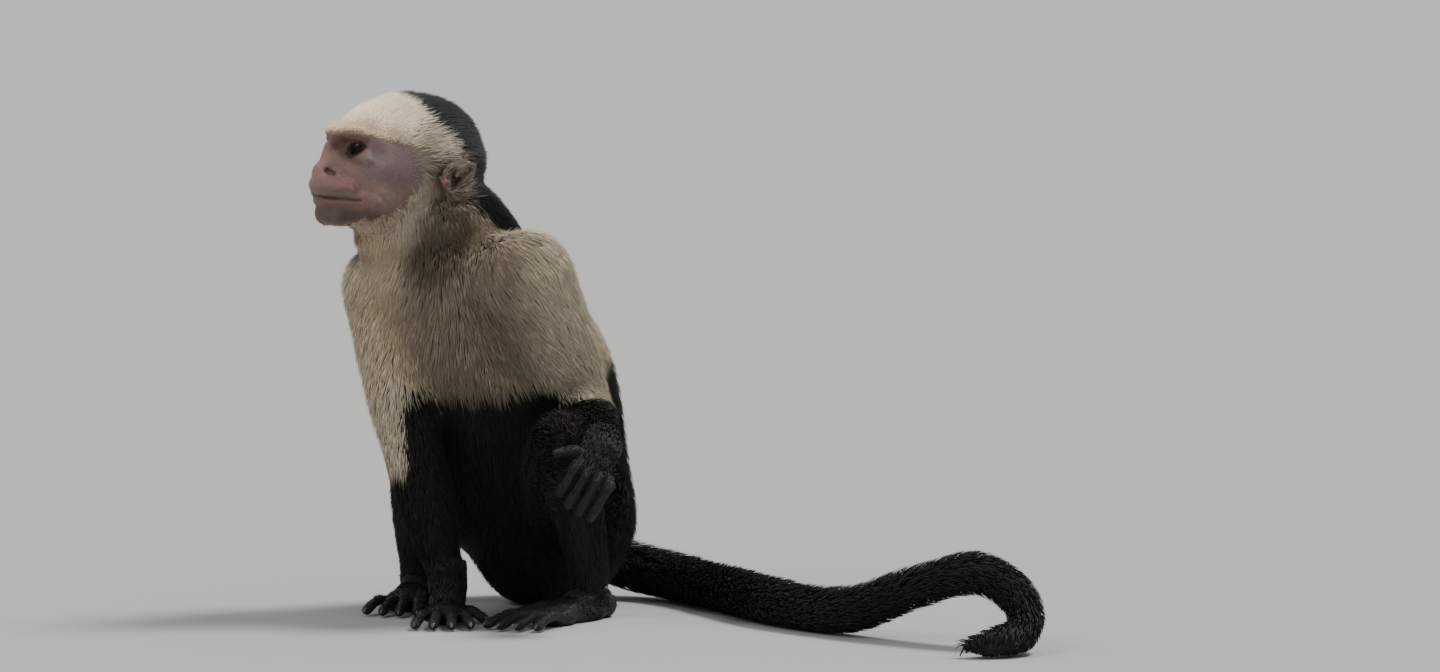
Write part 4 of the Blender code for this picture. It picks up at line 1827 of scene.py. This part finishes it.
@dataclass(frozen=True)
class NailFinish:
    """Dark horn with faint growth lines, a little worn and paler in patches."""

    line_scale: float = 900.0

    def material(self) -> Material:
        """Makes the material.

        Returns:
            The finished material.
        """
        box = Finish("monkey_nail", {"Coat Weight": 0.25, "Coat Roughness": 0.25})
        place = box.place()
        lines = box.noise(place, self.line_scale, 4.0, 0.65)
        worn = box.noise(place, self.line_scale / 5.0, 2.0).rise(0.5, 0.75)
        colour = box.mix(lines, (0.016, 0.013, 0.012), (0.065, 0.050, 0.042))
        colour = box.mix(worn * 0.4, colour, (0.14, 0.105, 0.085))
        return box.wear(Base_Color=colour, Roughness=0.32 + 0.25 * lines, Normal=box.bump(lines, 0.3, 0.0002))


@dataclass(frozen=True)
class FurFinish:
    """Hair: the colour stored on each tuft, finely streaked, with a soft sheen."""

    streak_scale: float = 2600.0
    patch_scale: float = 90.0

    def material(self) -> Material:
        """Makes the material.

        Returns:
            The finished material.
        """
        constants = {"Specular IOR Level": 0.26, "Sheen Weight": 0.05, "Sheen Roughness": 0.5}
        box = Finish("monkey_fur", constants)
        place = box.place()
        streaks = box.noise(place, self.streak_scale, 2.0, 0.5)
        patches = box.noise(place, self.patch_scale, 2.0)
        colour = box.lit(box.tone(), 0.60 + 0.45 * streaks + 0.35 * patches)
        return box.wear(Base_Color=colour, Roughness=0.50 + 0.20 * streaks)


@dataclass(frozen=True)
class FloorFinish:
    """A plain pale studio floor, matt, with the faintest unevenness."""

    def material(self) -> Material:
        """Makes the material.

        Returns:
            The finished material.
        """
        box = Finish("pale_floor", {"Specular IOR Level": 0.0})
        grain = box.noise(box.place(), 40.0, 3.0)
        colour = box.mix(grain, (0.375, 0.375, 0.37), (0.39, 0.39, 0.385))
        return box.wear(Base_Color=colour, Roughness=0.75 + 0.1 * grain)


# ---------------- studio


@dataclass(frozen=True)
class Lamp:
    """A very wide, far-off lamp, whose light is the same everywhere."""

    name: str
    azimuth: float  # degrees round from the -Y side, towards +X
    elevation: float
    width: float  # how wide it looks, in degrees
    strength: float
    colour: Colour

    def place(self) -> None:
        """Hangs the lamp."""
        way = direction(self.azimuth, self.elevation)
        data = bpy.data.lights.new(self.name, "SUN")
        data.angle = math.radians(self.width)
        data.energy = self.strength
        data.color = self.colour
        lamp = linked(self.name, data)
        lamp.location = way * 3.0
        lamp.rotation_euler = (-way).to_track_quat("-Z", "Y").to_euler()


@dataclass
class Studio:
    """The floor, the lamps, the sky and the camera."""

    azimuth: float = 35.0
    elevation: float = 3.0
    distance: float = 3.0
    lens: float = 116.25
    across: float = 0.1129  # the middle of the view, along the camera's right and up
    above: float = 0.1729
    floor_size: float = 60.0
    sky: Colour = (0.665, 0.675, 0.68)
    lamps: tuple[Lamp, ...] = (
        Lamp("top_lamp", 140.0, 62.0, 16.0, 3.4, (1.0, 0.985, 0.96)),
        Lamp("front_lamp", -15.0, 42.0, 16.0, 0.7, (1.0, 0.97, 0.93)),
    )

    def build(self) -> None:
        """Sets everything up."""
        deselect()
        bpy.ops.mesh.primitive_plane_add(size=self.floor_size)
        floor = bpy.context.object
        floor.name = "floor"
        floor.data.materials.append(FloorFinish().material())
        for lamp in self.lamps:
            lamp.place()
        world = bpy.data.worlds.new("soft_sky")
        world.use_nodes = True
        background = world.node_tree.nodes["Background"]
        background.inputs["Color"].default_value = (*self.sky, 1.0)
        bpy.context.scene.world = world
        self.place_camera()

    def place_camera(self) -> None:
        """Stands the camera to the animal's front left, low, with a long lens."""
        right = direction(self.azimuth + 90.0, 0.0)
        back = direction(self.azimuth, self.elevation)
        upward = back.cross(right)
        data = bpy.data.cameras.new("camera")
        data.lens = self.lens
        data.sensor_width = 36.0
        camera = linked("camera", data)
        camera.location = right * self.across + upward * self.above + back * self.distance
        camera.rotation_euler = Matrix((right, upward, back)).transposed().to_euler()
        bpy.context.scene.camera = camera


# ---------------- the coat


@dataclass
class Lie:
    """Which way the hair lies, from the bones' directions and a few centres that it runs away from."""

    muzzle: Place = (16.0, 0.0, -12.0)
    whorl: Place = (0.0251, -0.1195, 0.2075)  # on the chest, in the frame's metres
    whorl_reach: float = 0.075
    whorl_core: float = 0.02
    whorl_pull: float = 0.46  # share of the hair's direction at its middle
    parting: Place = (0.0450, -0.1090, 0.2310)  # between the neck and the left shoulder, in the same way
    jaw_way: Place = (0.3, 0.0, -1.0)  # the hair's direction in the head, here and in the next three
    throat_way: Place = (0.55, 0.0, -1.0)
    ear_way: Place = (-0.75, 0.0, 0.35)
    neck_way: Place = (-0.25, 0.0, -1.0)
    trunk_way: Place = (0.0, 0.22, -1.0)  # in the frame
    trunk_lift: Place = (0.5, 0.3, 0.0)  # how far it also follows the outward direction
    neck_lift: float = 0.35
    shoulder_pull: float = 1.3
    tail_slices: int = 9
    evening: int = 60  # rounds

    def along_bones(self, sites: Sites) -> Array:
        """The direction of the bone under a limb, hand, foot or the tail.

        Args:
            sites: Places on the skin.

        Returns:
            One direction for each place, which is zero elsewhere.
        """
        flow = np.zeros((len(sites.points), 3))
        for side in SIDES:
            for chain in (("upper_arm", "forearm", "hand"), ("thigh", "shin", "foot")):
                nodes = ["trunk", *(f"{name}_{side}" for name in chain)]
                stops = [SOLIDS.joint(*pair) for pair in zip(nodes, nodes[1:])]
                stops.append(SOLIDS.centre(nodes[-1]))
                for node, start, end in zip(nodes[1:], stops, stops[1:]):
                    flow[sites.on(node)] = unit(end - start)
            outwards = unit(SOLIDS.joint("trunk", f"upper_arm_{side}") - SOLIDS.joint("neck", "trunk"))
            flow[sites.on(f"upper_arm_{side}")] += outwards * [0.4, 0.4, 0.0]
        on_tail = sites.on("tail")
        line, ways = self.tail_line()
        flow[on_tail] = ways[nearest(tree_of(line), sites.points[on_tail])]
        return flow

    def tail_line(self) -> tuple[Array, Array]:
        """Follows the middle of the tail.

        Returns:
            Points along it, and the tail's direction at each.
        """
        line = []
        for node, before in zip(TAIL, ("trunk", *TAIL)):
            cloud = SOLIDS.cloud(node)
            away = lengths(cloud - SOLIDS.joint(before, node))
            slices = np.array_split(cloud[np.argsort(away)], self.tail_slices)
            line += [part.mean(axis=0) for part in slices]
        line = np.array(line)
        return line, unit(np.gradient(line, axis=0))

    def over_head(self, local: Array) -> Array:
        """The hair's direction on the head: away from the muzzle, then down the jaw and the throat.

        Args:
            local: Places in the head.

        Returns:
            One direction for each place.
        """
        forward, _, up = local.T
        way = unit(local - self.muzzle)
        way = blended(way, np.array(self.jaw_way), ramp(up, -8, -26) * ramp(forward, -26, -38))
        return blended(way, np.array(self.throat_way), ramp(up, -40, -50)) @ HEAD.axes

    def over_trunk(self, sites: Sites) -> Array:
        """The hair's direction on the trunk: down, out over the shoulders, and away from the breast's whorl.

        Args:
            sites: Places on the skin.

        Returns:
            One direction for each place.
        """
        points = sites.points
        down = np.array(self.trunk_way) + sites.normals * self.trunk_lift
        for side in SIDES:
            shoulder = SOLIDS.joint("trunk", f"upper_arm_{side}")
            outwards = unit((shoulder - SOLIDS.joint("neck", "trunk")) * [1.0, 1.0, 0.0])
            beside = ramp(lengths(points - shoulder), 0.065, 0.03)
            beside = beside * ramp(points[:, 2], 0.19, 0.22)
            down = down + (outwards * self.shoulder_pull) * beside[:, None]
        away = points - self.whorl
        near = ramp(lengths(away), self.whorl_reach, self.whorl_core) * ramp(points[:, 1], -0.06, -0.09)
        near *= ramp(points[:, 2], 0.236, 0.216)
        return blended(down, unit(away) * 1.2, near * self.whorl_pull)

    def at(self, sites: Sites, web: Web) -> tuple[Array, Array]:
        """The direction of the hair along the skin.

        Args:
            sites: The places of the skin's points.
            web: The skin's edges.

        Returns:
            One unit vector for each point, and how clear the direction is there, from 0 at a whorl to 1.
        """
        flow = self.along_bones(sites)
        on_neck = np.array(self.neck_way) @ HEAD.axes + self.neck_lift * sites.normals
        on_ear = np.zeros_like(flow) + np.array(self.ear_way) @ HEAD.axes
        for names, way in (
            (("head", "eye"), self.over_head(sites.local)),
            (("ear",), on_ear),
            (("neck",), on_neck),
            (("trunk",), self.over_trunk(sites)),
        ):
            chosen = sites.on(*names)
            flow[chosen] = way[chosen]
        flow = web.even(flattened(flow, sites.normals), self.evening)
        return flattened(flow, sites.normals), lengths(flow)


@dataclass
class Ground:
    """The finished skin as arrays, from which the coat grows."""

    obj: Object
    thin_coat: float = 2.5  # mm; a coat that is planned thinner than this keeps its depth
    tip_room: float = 0.3  # mm between the tips and the solids' surface
    hairline_trim: float = 0.66  # how much shorter the hair is over the brow
    hairline_sink: float = 0.45  # and how much nearer to the skin its tips are
    whorl_length: float = 0.42  # share of its length that hair keeps where its direction is unclear
    other_turn: float = 0.25  # cosine of the turn past which the nearest skin is another part of the body
    other_gap: float = 7.0  # mm past which it is, too

    def __post_init__(self) -> None:
        """Reads the skin and works out the coat's depth and lie at each of its points."""
        self.sites = sites_of(self.obj)
        self.points, self.normals = self.sites.points, self.sites.normals
        self.triangles = corner_points(self.obj.data).reshape(-1, 3)
        web = Web(self.obj)
        on_head = self.sites.on("head", "eye")
        self.bare = FACE.bare(self.sites.local) * on_head
        self.flow, clear = Lie().at(self.sites, web)
        self.clear = ramp(clear, 0.05, 0.6)
        forward, _, up = self.sites.local.T
        edge = ramp(up - np.interp(forward, *FACE.top), 12, -2) * ramp(forward, -44, -24) * on_head
        kept = self.whorl_length + (1.0 - self.whorl_length) * self.clear
        self.length = (1.0 - self.hairline_trim * edge) * kept
        self.depth = web.even(self.room(), 8) * (1.0 - self.hairline_sink * edge)
        self.tree = tree_of(self.points)
        sides = self.points[self.triangles]
        cross = np.cross(sides[:, 1] - sides[:, 0], sides[:, 2] - sides[:, 0])
        self.areas = lengths(cross) / 2.0

    def room(self) -> Array:
        """Measures how deep the coat can be between the skin and the solids' surface.

        Returns:
            Millimetres at each point, near to what is planned there.
        """
        planned = CoatDepth().at(self.sites)
        envelope = tree_of(np.concatenate([SOLIDS.cloud(node) for node in FLESH]))
        measured = np.array([envelope.find(point)[2] for point in self.points]) / MM
        limited = np.clip(measured - self.tip_room, planned * 0.5, planned * 1.6)
        return np.where(planned < self.thin_coat, planned, limited)

    def chart(self, chosen: Array) -> Array:
        """Unwraps a part of the skin by its own shape.

        Args:
            chosen: The numbers of its triangles.

        Returns:
            The map's place of each triangle's three corners.
        """
        faces = self.triangles[chosen]
        used, inverse = np.unique(faces, return_inverse=True)
        mesh = bpy.data.meshes.new("chart")
        mesh.from_pydata(self.points[used], [], inverse.reshape(-1, 3))
        obj = linked("chart", mesh)
        with editing(obj):
            bpy.ops.uv.smart_project(angle_limit=1.15, island_margin=0.004, scale_to_bounds=True)
        values = read(mesh.uv_layers.active.uv, "vector", 2, np.float32)
        bpy.data.objects.remove(obj)
        return values.reshape(-1, 3, 2)

    def surface_near(self, places: Array, normals: Array, before: Array) -> tuple[Array, Array]:
        """The skin's point under or over each place, unless that is another part of the body close by.

        Args:
            places: Any points near the skin.
            normals: The outward direction where each tuft comes from.
            before: The number of the skin point where each tuft comes from.

        Returns:
            The places brought to the skin's surface, and the numbers of the nearest skin points.
        """
        index = nearest(self.tree, places)
        off = ((places - self.points[index]) * self.normals[index]).sum(axis=1)
        turned = (self.normals[index] * normals).sum(axis=1) < self.other_turn
        stray = turned | (np.abs(off) > self.other_gap * MM)
        index = np.where(stray, before, index)
        moved = places - self.normals[index] * off[:, None]
        return np.where(stray[:, None], places, moved), index


@dataclass(frozen=True)
class Fleece:
    """How one piece of the coat is cut. Lengths are in millimetres."""

    name: str
    nodes: tuple[str, ...]
    tufts: int
    width: float = 0.62  # half of a tuft's width at its root
    length: tuple[float, float] = (5.0, 1.75)  # a base, and a share of the coat's depth
    lift: float = 1.0  # share of the depth that the tips reach
    spread: float = 9.0  # degrees of random turn
    clump: float = 0.30  # how far tips lean towards their lock's tip
    lock: float = 5.0  # width of a lock
    bend: float = 0.60  # how early a tuft rises


@dataclass
class Tufts:
    """One piece of the coat in the making: where its tufts grow and how they run."""

    ground: Ground
    fleece: Fleece
    seed: int
    weights: Array

    def roots(self) -> None:
        """Spreads the tufts' roots evenly over the piece's part of the skin."""
        ground, count = self.ground, self.fleece.tufts
        self.rng = np.random.default_rng(SEED + self.seed)
        chosen = np.flatnonzero(self.weights > 0.02)
        total = np.cumsum(self.weights[chosen] * ground.areas[chosen])
        steps = (np.arange(count) + self.rng.random(count)) / count * total[-1]
        pick = np.minimum(np.searchsorted(total, steps), len(chosen) - 1)
        first, second = scattered(self.rng, count)
        shares = np.column_stack([1.0 - first - second, first, second])
        corners = ground.triangles[chosen[pick]]
        self.corners = corners
        self.shares = shares
        self.root = (ground.points[corners] * shares[:, :, None]).sum(axis=1)
        self.normal = unit((ground.normals[corners] * shares[:, :, None]).sum(axis=1))
        self.depth = (ground.depth[corners] * shares).sum(axis=1)
        self.place = (ground.chart(chosen)[pick] * shares[:, :, None]).sum(axis=1)
        flow = flattened((ground.flow[corners] * shares[:, :, None]).sum(axis=1), self.normal)
        turn = np.radians(self.rng.normal(0.0, self.fleece.spread, count))[:, None]
        self.flow = flow * np.cos(turn) + np.cross(self.normal, flow) * np.sin(turn)

    def run(self) -> None:
        """Leads each tuft over the skin from its root through its middle to its tip."""
        ground, cut = self.ground, self.fleece
        base, share = cut.length
        length = (base + share * self.depth) * self.rng.uniform(0.72, 1.12, len(self.root)) * MM
        length *= (ground.length[self.corners] * self.shares).sum(axis=1)
        rise = self.rng.uniform(0.82, 1.12, len(self.root)) * cut.lift * MM
        start = self.corners[:, 0]
        reach = self.root + self.flow * (length * 0.45)[:, None]
        middle, index = ground.surface_near(reach, self.normal, start)
        middle_normal = ground.normals[index]
        onward = flattened(self.flow + ground.flow[index] * 0.8, middle_normal)
        middle_depth = (self.depth + ground.depth[index]) / 2.0
        reach = middle + onward * (length * 0.55)[:, None]
        tip, index = ground.surface_near(reach, middle_normal, index)
        self.middle = middle + middle_normal * (middle_depth * cut.bend * rise)[:, None]
        self.tip = tip + ground.normals[index] * (ground.depth[index] * rise)[:, None]
        self.gather_locks()
        self.middle[:, 2] = np.maximum(self.middle[:, 2], 0.8 * MM)
        self.tip[:, 2] = np.maximum(self.tip[:, 2], 0.6 * MM)

    def gather_locks(self) -> None:
        """Leans the tips of neighbouring tufts together."""
        cut = self.fleece
        if cut.clump <= 0:
            return
        lock_area = (cut.lock * MM) ** 2
        covered = (self.weights > 0.02) @ self.ground.areas
        count = max(8, int(covered / lock_area))
        seeds = self.rng.choice(len(self.root), min(count, len(self.root)), replace=False)
        owner = seeds[nearest(tree_of(self.root[seeds]), self.root)]
        near = ramp(lengths(self.root - self.root[owner]), cut.lock * 2.2 * MM, 0.0)
        share = cut.clump * near * self.rng.uniform(0.5, 1.0, len(owner))
        self.tip = blended(self.tip, self.tip[owner], share)
        self.middle = blended(self.middle, self.middle[owner], share * 0.35)

    def build(self, colours: Array) -> Object:
        """Makes the tufts' mesh: three-sided blades with a ridge, closed at the root.

        Args:
            colours: One colour for each tuft.

        Returns:
            The piece.
        """
        cut, count = self.fleece, len(self.root)
        width = cut.width * self.rng.uniform(0.75, 1.25, count)[:, None] * MM
        side = unit(np.cross(self.normal, self.tip - self.root))
        over = self.normal
        start = self.root - self.normal * 0.5 * MM
        rows = [start - side * width, start + side * width, start + over * width * 0.9]
        slim = width * 0.72
        rows += [self.middle - side * slim, self.middle + side * slim, self.middle + over * slim * 0.7]
        rows.append(self.tip)
        points = np.stack(rows, axis=1).reshape(-1, 3)
        pattern = [(0, 2, 1), (6, 3, 4), (6, 4, 5), (6, 5, 3)]
        for a, b in ((0, 1), (1, 2), (2, 0)):
            pattern += [(a, b, b + 3), (a, b + 3, a + 3)]
        faces = (np.arange(count)[:, None, None] * len(rows) + np.array(pattern)[None]).reshape(-1, 3)
        mesh = bpy.data.meshes.new(cut.name)
        mesh.from_pydata(points, [], faces)
        obj = linked(cut.name, mesh)
        self.map_roots(obj)
        self.colour(obj, colours)
        mesh.shade_smooth()
        return obj

    def map_roots(self, obj: Object) -> None:
        """Writes the coat's map: each tuft a small patch at its root's place.

        Args:
            obj: The piece of the coat.
        """
        patch = 0.0013
        offsets = np.array([(-1, -1), (1, -1), (0, -1), (-0.8, 0), (0.8, 0), (0, 0.1), (0, 1)]) * patch
        places = self.place[:, None, :] + offsets[None]
        rows = places.reshape(-1, 2)[corner_points(obj.data)]
        layer = obj.data.uv_layers.new(name=BAKE_MAP)
        layer.uv.foreach_set("vector", rows.astype(np.float32).ravel())

    def colour(self, obj: Object, colours: Array) -> None:
        """Stores the tufts' colours, darker at the root and lighter at the tip.

        Args:
            obj: The piece of the coat.
            colours: One colour for each tuft.
        """
        shade = np.array([0.82, 0.82, 0.86, 0.96, 0.96, 0.98, 1.08])
        vary = np.clip(self.rng.normal(1.0, 0.09, len(colours)), 0.7, 1.3)
        rows = colours[:, None, :] * shade[None, :, None] * vary[:, None, None]
        paint(obj, np.clip(rows.reshape(-1, 3), 0.0, 1.0))


@dataclass
class Coat:
    """All the pieces of the coat."""

    sleeve: float = 22.0  # how far in mm a limb's fur reaches over its paw
    sleeve_density: float = 1.3
    whorl_density: float = 2.4  # times the usual one, where the hair's direction is unclear
    parting_density: float = 3.0  # more again, where it parts
    flank: tuple[float, float] = (-0.018, 0.1)  # y and z in m where the breast's and the back's piece meet
    flank_slope: float = 0.28  # how far that edge runs forwards on its way up
    ruff: tuple[Place, ...] = ((-44, 32, -22), (-40, 30, -34), (-33, 26, -43), (-22, 17, -51), (-4, 7, -53))
    fleeces: tuple[Fleece, ...] = (
        Fleece("coat_crown", ("head",), 14500, 0.40, (4.0, 1.2), 1.12, 10, 0.26, 3.5),
        Fleece("coat_brow", ("head",), 17000, 0.35, (4.5, 1.1), 1.15, 12, 0.28, 3.0),
        Fleece("coat_ruff", ("head", "neck"), 4000, 0.30, (10.5, 0.5), 1.25, 14, 0.4, 5.0),
        Fleece("coat_neck", ("neck",), 12500, 0.54, (5.0, 1.6), 1.1, 11, 0.28, 5.0),
        Fleece("coat_trunk_front", ("trunk",), 18000, 0.60, (6.0, 1.8), spread=11, clump=0.30, lock=5.5),
        Fleece("coat_trunk_back", ("trunk",), 15000, 0.64, (5.0, 1.8)),
        Fleece("coat_arm_left", ("upper_arm_left", "forearm_left"), 11000, 0.58, (8.0, 1.4)),
        Fleece("coat_arm_right", ("upper_arm_right", "forearm_right"), 10000, 0.58, (8.0, 1.4)),
        Fleece("coat_leg_left", ("thigh_left", "shin_left"), 10500, 0.62, (7.0, 1.5)),
        Fleece("coat_leg_right", ("thigh_right", "shin_right"), 10500, 0.62, (7.0, 1.5)),
        Fleece("coat_tail", ("tail",), 10500, 0.60),
        Fleece("coat_paws", ("hand", "foot"), 5500, 0.24, (3.4, 1.4), 1.0, 12, 0.0),
        Fleece("coat_face", ("head",), 7000, 0.10, (2.6, 1.4), 0.55, 12, 0.0),
        Fleece("coat_ears", ("ear",), 3800, 0.22, (6.5, 1.0), 2.0, 18, 0.2, 3.0),
    )

    def off_ruff(self, local: Array) -> Array:
        """How far in mm places in the head are from the ruff's line."""
        return line_distance(mirrored(local), self.ruff)

    def weights(self, ground: Ground, fleece: Fleece) -> Array:
        """How densely each triangle of the skin carries a piece of the coat.

        Args:
            ground: The skin.
            fleece: The piece.

        Returns:
            One number for each triangle, 0 where the piece has no tufts.
        """
        sites, points, local = ground.sites, ground.points, ground.sites.local
        forward, _, up = local.T
        parting = ramp(lengths(points - Lie.parting) / MM, 18, 5)
        density = self.whorl_density - (self.whorl_density - 1.0) * ground.clear
        share = sites.on(*fleece.nodes) * (density + self.parting_density * parting)
        name = fleece.name
        for paw, limb in zip(PAWS, (*parts_of("forearm"), *parts_of("shin"))):
            if limb in fleece.nodes:
                away = lengths(points - SOLIDS.joint(limb, paw)) / MM
                cuff = ramp(away, self.sleeve, self.sleeve - 8)
                share += self.sleeve_density * sites.on(paw) * cuff
        edge, height = self.flank
        behind = (points[:, 1] > edge - self.flank_slope * (points[:, 2] - height)).astype(float)
        if name == "coat_trunk_front":
            share *= 1.0 - behind
        elif name == "coat_trunk_back":
            share *= behind
        elif name in ("coat_crown", "coat_brow"):
            crown = ramp(-forward - 0.4 * up, 27, 28)
            share *= (crown if name == "coat_crown" else 1.0 - crown) * (1.0 - ramp(ground.bare, 0.2, 0.95))
            share *= 1.0 - ramp(forward, -6, 6) * ramp(up, -30, -36)
        elif name == "coat_ruff":
            ragged = 4.0 * spots(points, 7 * MM, 5)
            share *= ramp(self.off_ruff(local) + ragged, 13, 3) ** 1.5
        elif name == "coat_face":
            eyes = np.minimum(*(lengths(local - HEAD.eye(sign) - [5, 0, 0]) for sign in SIDES.values()))
            cheek = 0.02 + 0.98 * ramp(-forward, 4, 20)
            share *= ramp(ground.bare, 0.15, 0.5) * cheek * ramp(eyes, 11, 14)
        elif name == "coat_paws":
            share *= ramp(ground.normals[:, 2], -0.1, 0.3) * ramp(points[:, 2], 3 * MM, 6 * MM)
        return share[ground.triangles].mean(axis=1)

    def colours(self, tufts: Tufts) -> Array:
        """The colour of each tuft, from the animal's markings.

        Args:
            tufts: One piece of the coat.

        Returns:
            One colour for each tuft.
        """
        points, sites = tufts.root, Sites(tufts.root, tufts.normal)
        black = MARKINGS.black(sites)
        chance = tufts.rng.random(len(points))
        dark = (black > 0.2 + 0.6 * chance).astype(float)
        shade = 0.5 + 0.5 * spots(points, 30 * MM, 3)
        night = tinted(plain(Pelt.BLACK, len(points)), Pelt.SHADE, shade * 0.6)
        light = MARKINGS.cream(sites) * (1.0 - 0.75 * black * ~sites.on("head"))[:, None]
        colours = blended(light, night, dark)
        local = sites.local
        if tufts.fleece.name == "coat_face":
            down = tinted(plain(Pelt.CHEEK_DOWN, len(points)), Pelt.BRISTLE, ramp(local[:, 0], -12, 0) * 0.8)
            # Cheek hairs towards the back greyed, partly painted shade.
            down = tinted(down, Pelt.RUFF, ramp(local[:, 0], -20, -42) * 0.7)
            colours = blended(colours, down, ramp(FACE.bare(local), 0.3, 0.8))
        elif tufts.fleece.name == "coat_ears":
            colours = plain(Pelt.EAR_HAIR, len(points))
        elif tufts.fleece.name == "coat_ruff":
            # Ruff hairs greyed, partly painted shade.
            colours = tinted(colours, Pelt.RUFF, 0.75 * ramp(self.off_ruff(local), 13, 4))
        return colours

    def build(self, body: Object) -> list[Object]:
        """Grows every piece of the coat on the skin.

        Args:
            body: The skin.

        Returns:
            The pieces, without their material.
        """
        ground = Ground(body)
        log.info("skin area %.3f m2", ground.areas.sum())
        pieces = []
        for seed, fleece in enumerate(self.fleeces):
            tufts = Tufts(ground, fleece, seed, self.weights(ground, fleece))
            tufts.roots()
            tufts.run()
            pieces.append(tufts.build(self.colours(tufts)))
        return pieces


# ---------------- the whole


@dataclass
class Capuchin:
    """The whole animal, built piece by piece."""

    paws: Paws = field(default_factory=Paws)
    ears: Ears = field(default_factory=Ears)
    skin: Skin = field(default_factory=Skin)
    coat: Coat = field(default_factory=Coat)

    def build(self) -> None:
        """Makes and dresses every piece in order."""
        limbs = self.paws.build() + [self.ears.build(side) for side in SIDES]
        body = self.skin.build(limbs)
        dress(body, SkinFinish().material(), (*FLESH, *parts_of("ear"), *PAWS))
        eye_material = EyeFinish().material()
        for side in SIDES:
            dress(Eye(side).build(), eye_material, (f"eye_{side}",))
        dress(self.paws.build_nails(), NailFinish().material())
        fur = FurFinish().material()
        for piece in self.coat.build(body):
            dress(piece, fur)


def main() -> None:
    """Builds the animal and the studio."""
    logging.basicConfig(level=logging.INFO, format="%(name)s %(message)s")
    Studio().build()
    Capuchin().build()


if __name__ == "__main__":
    main()
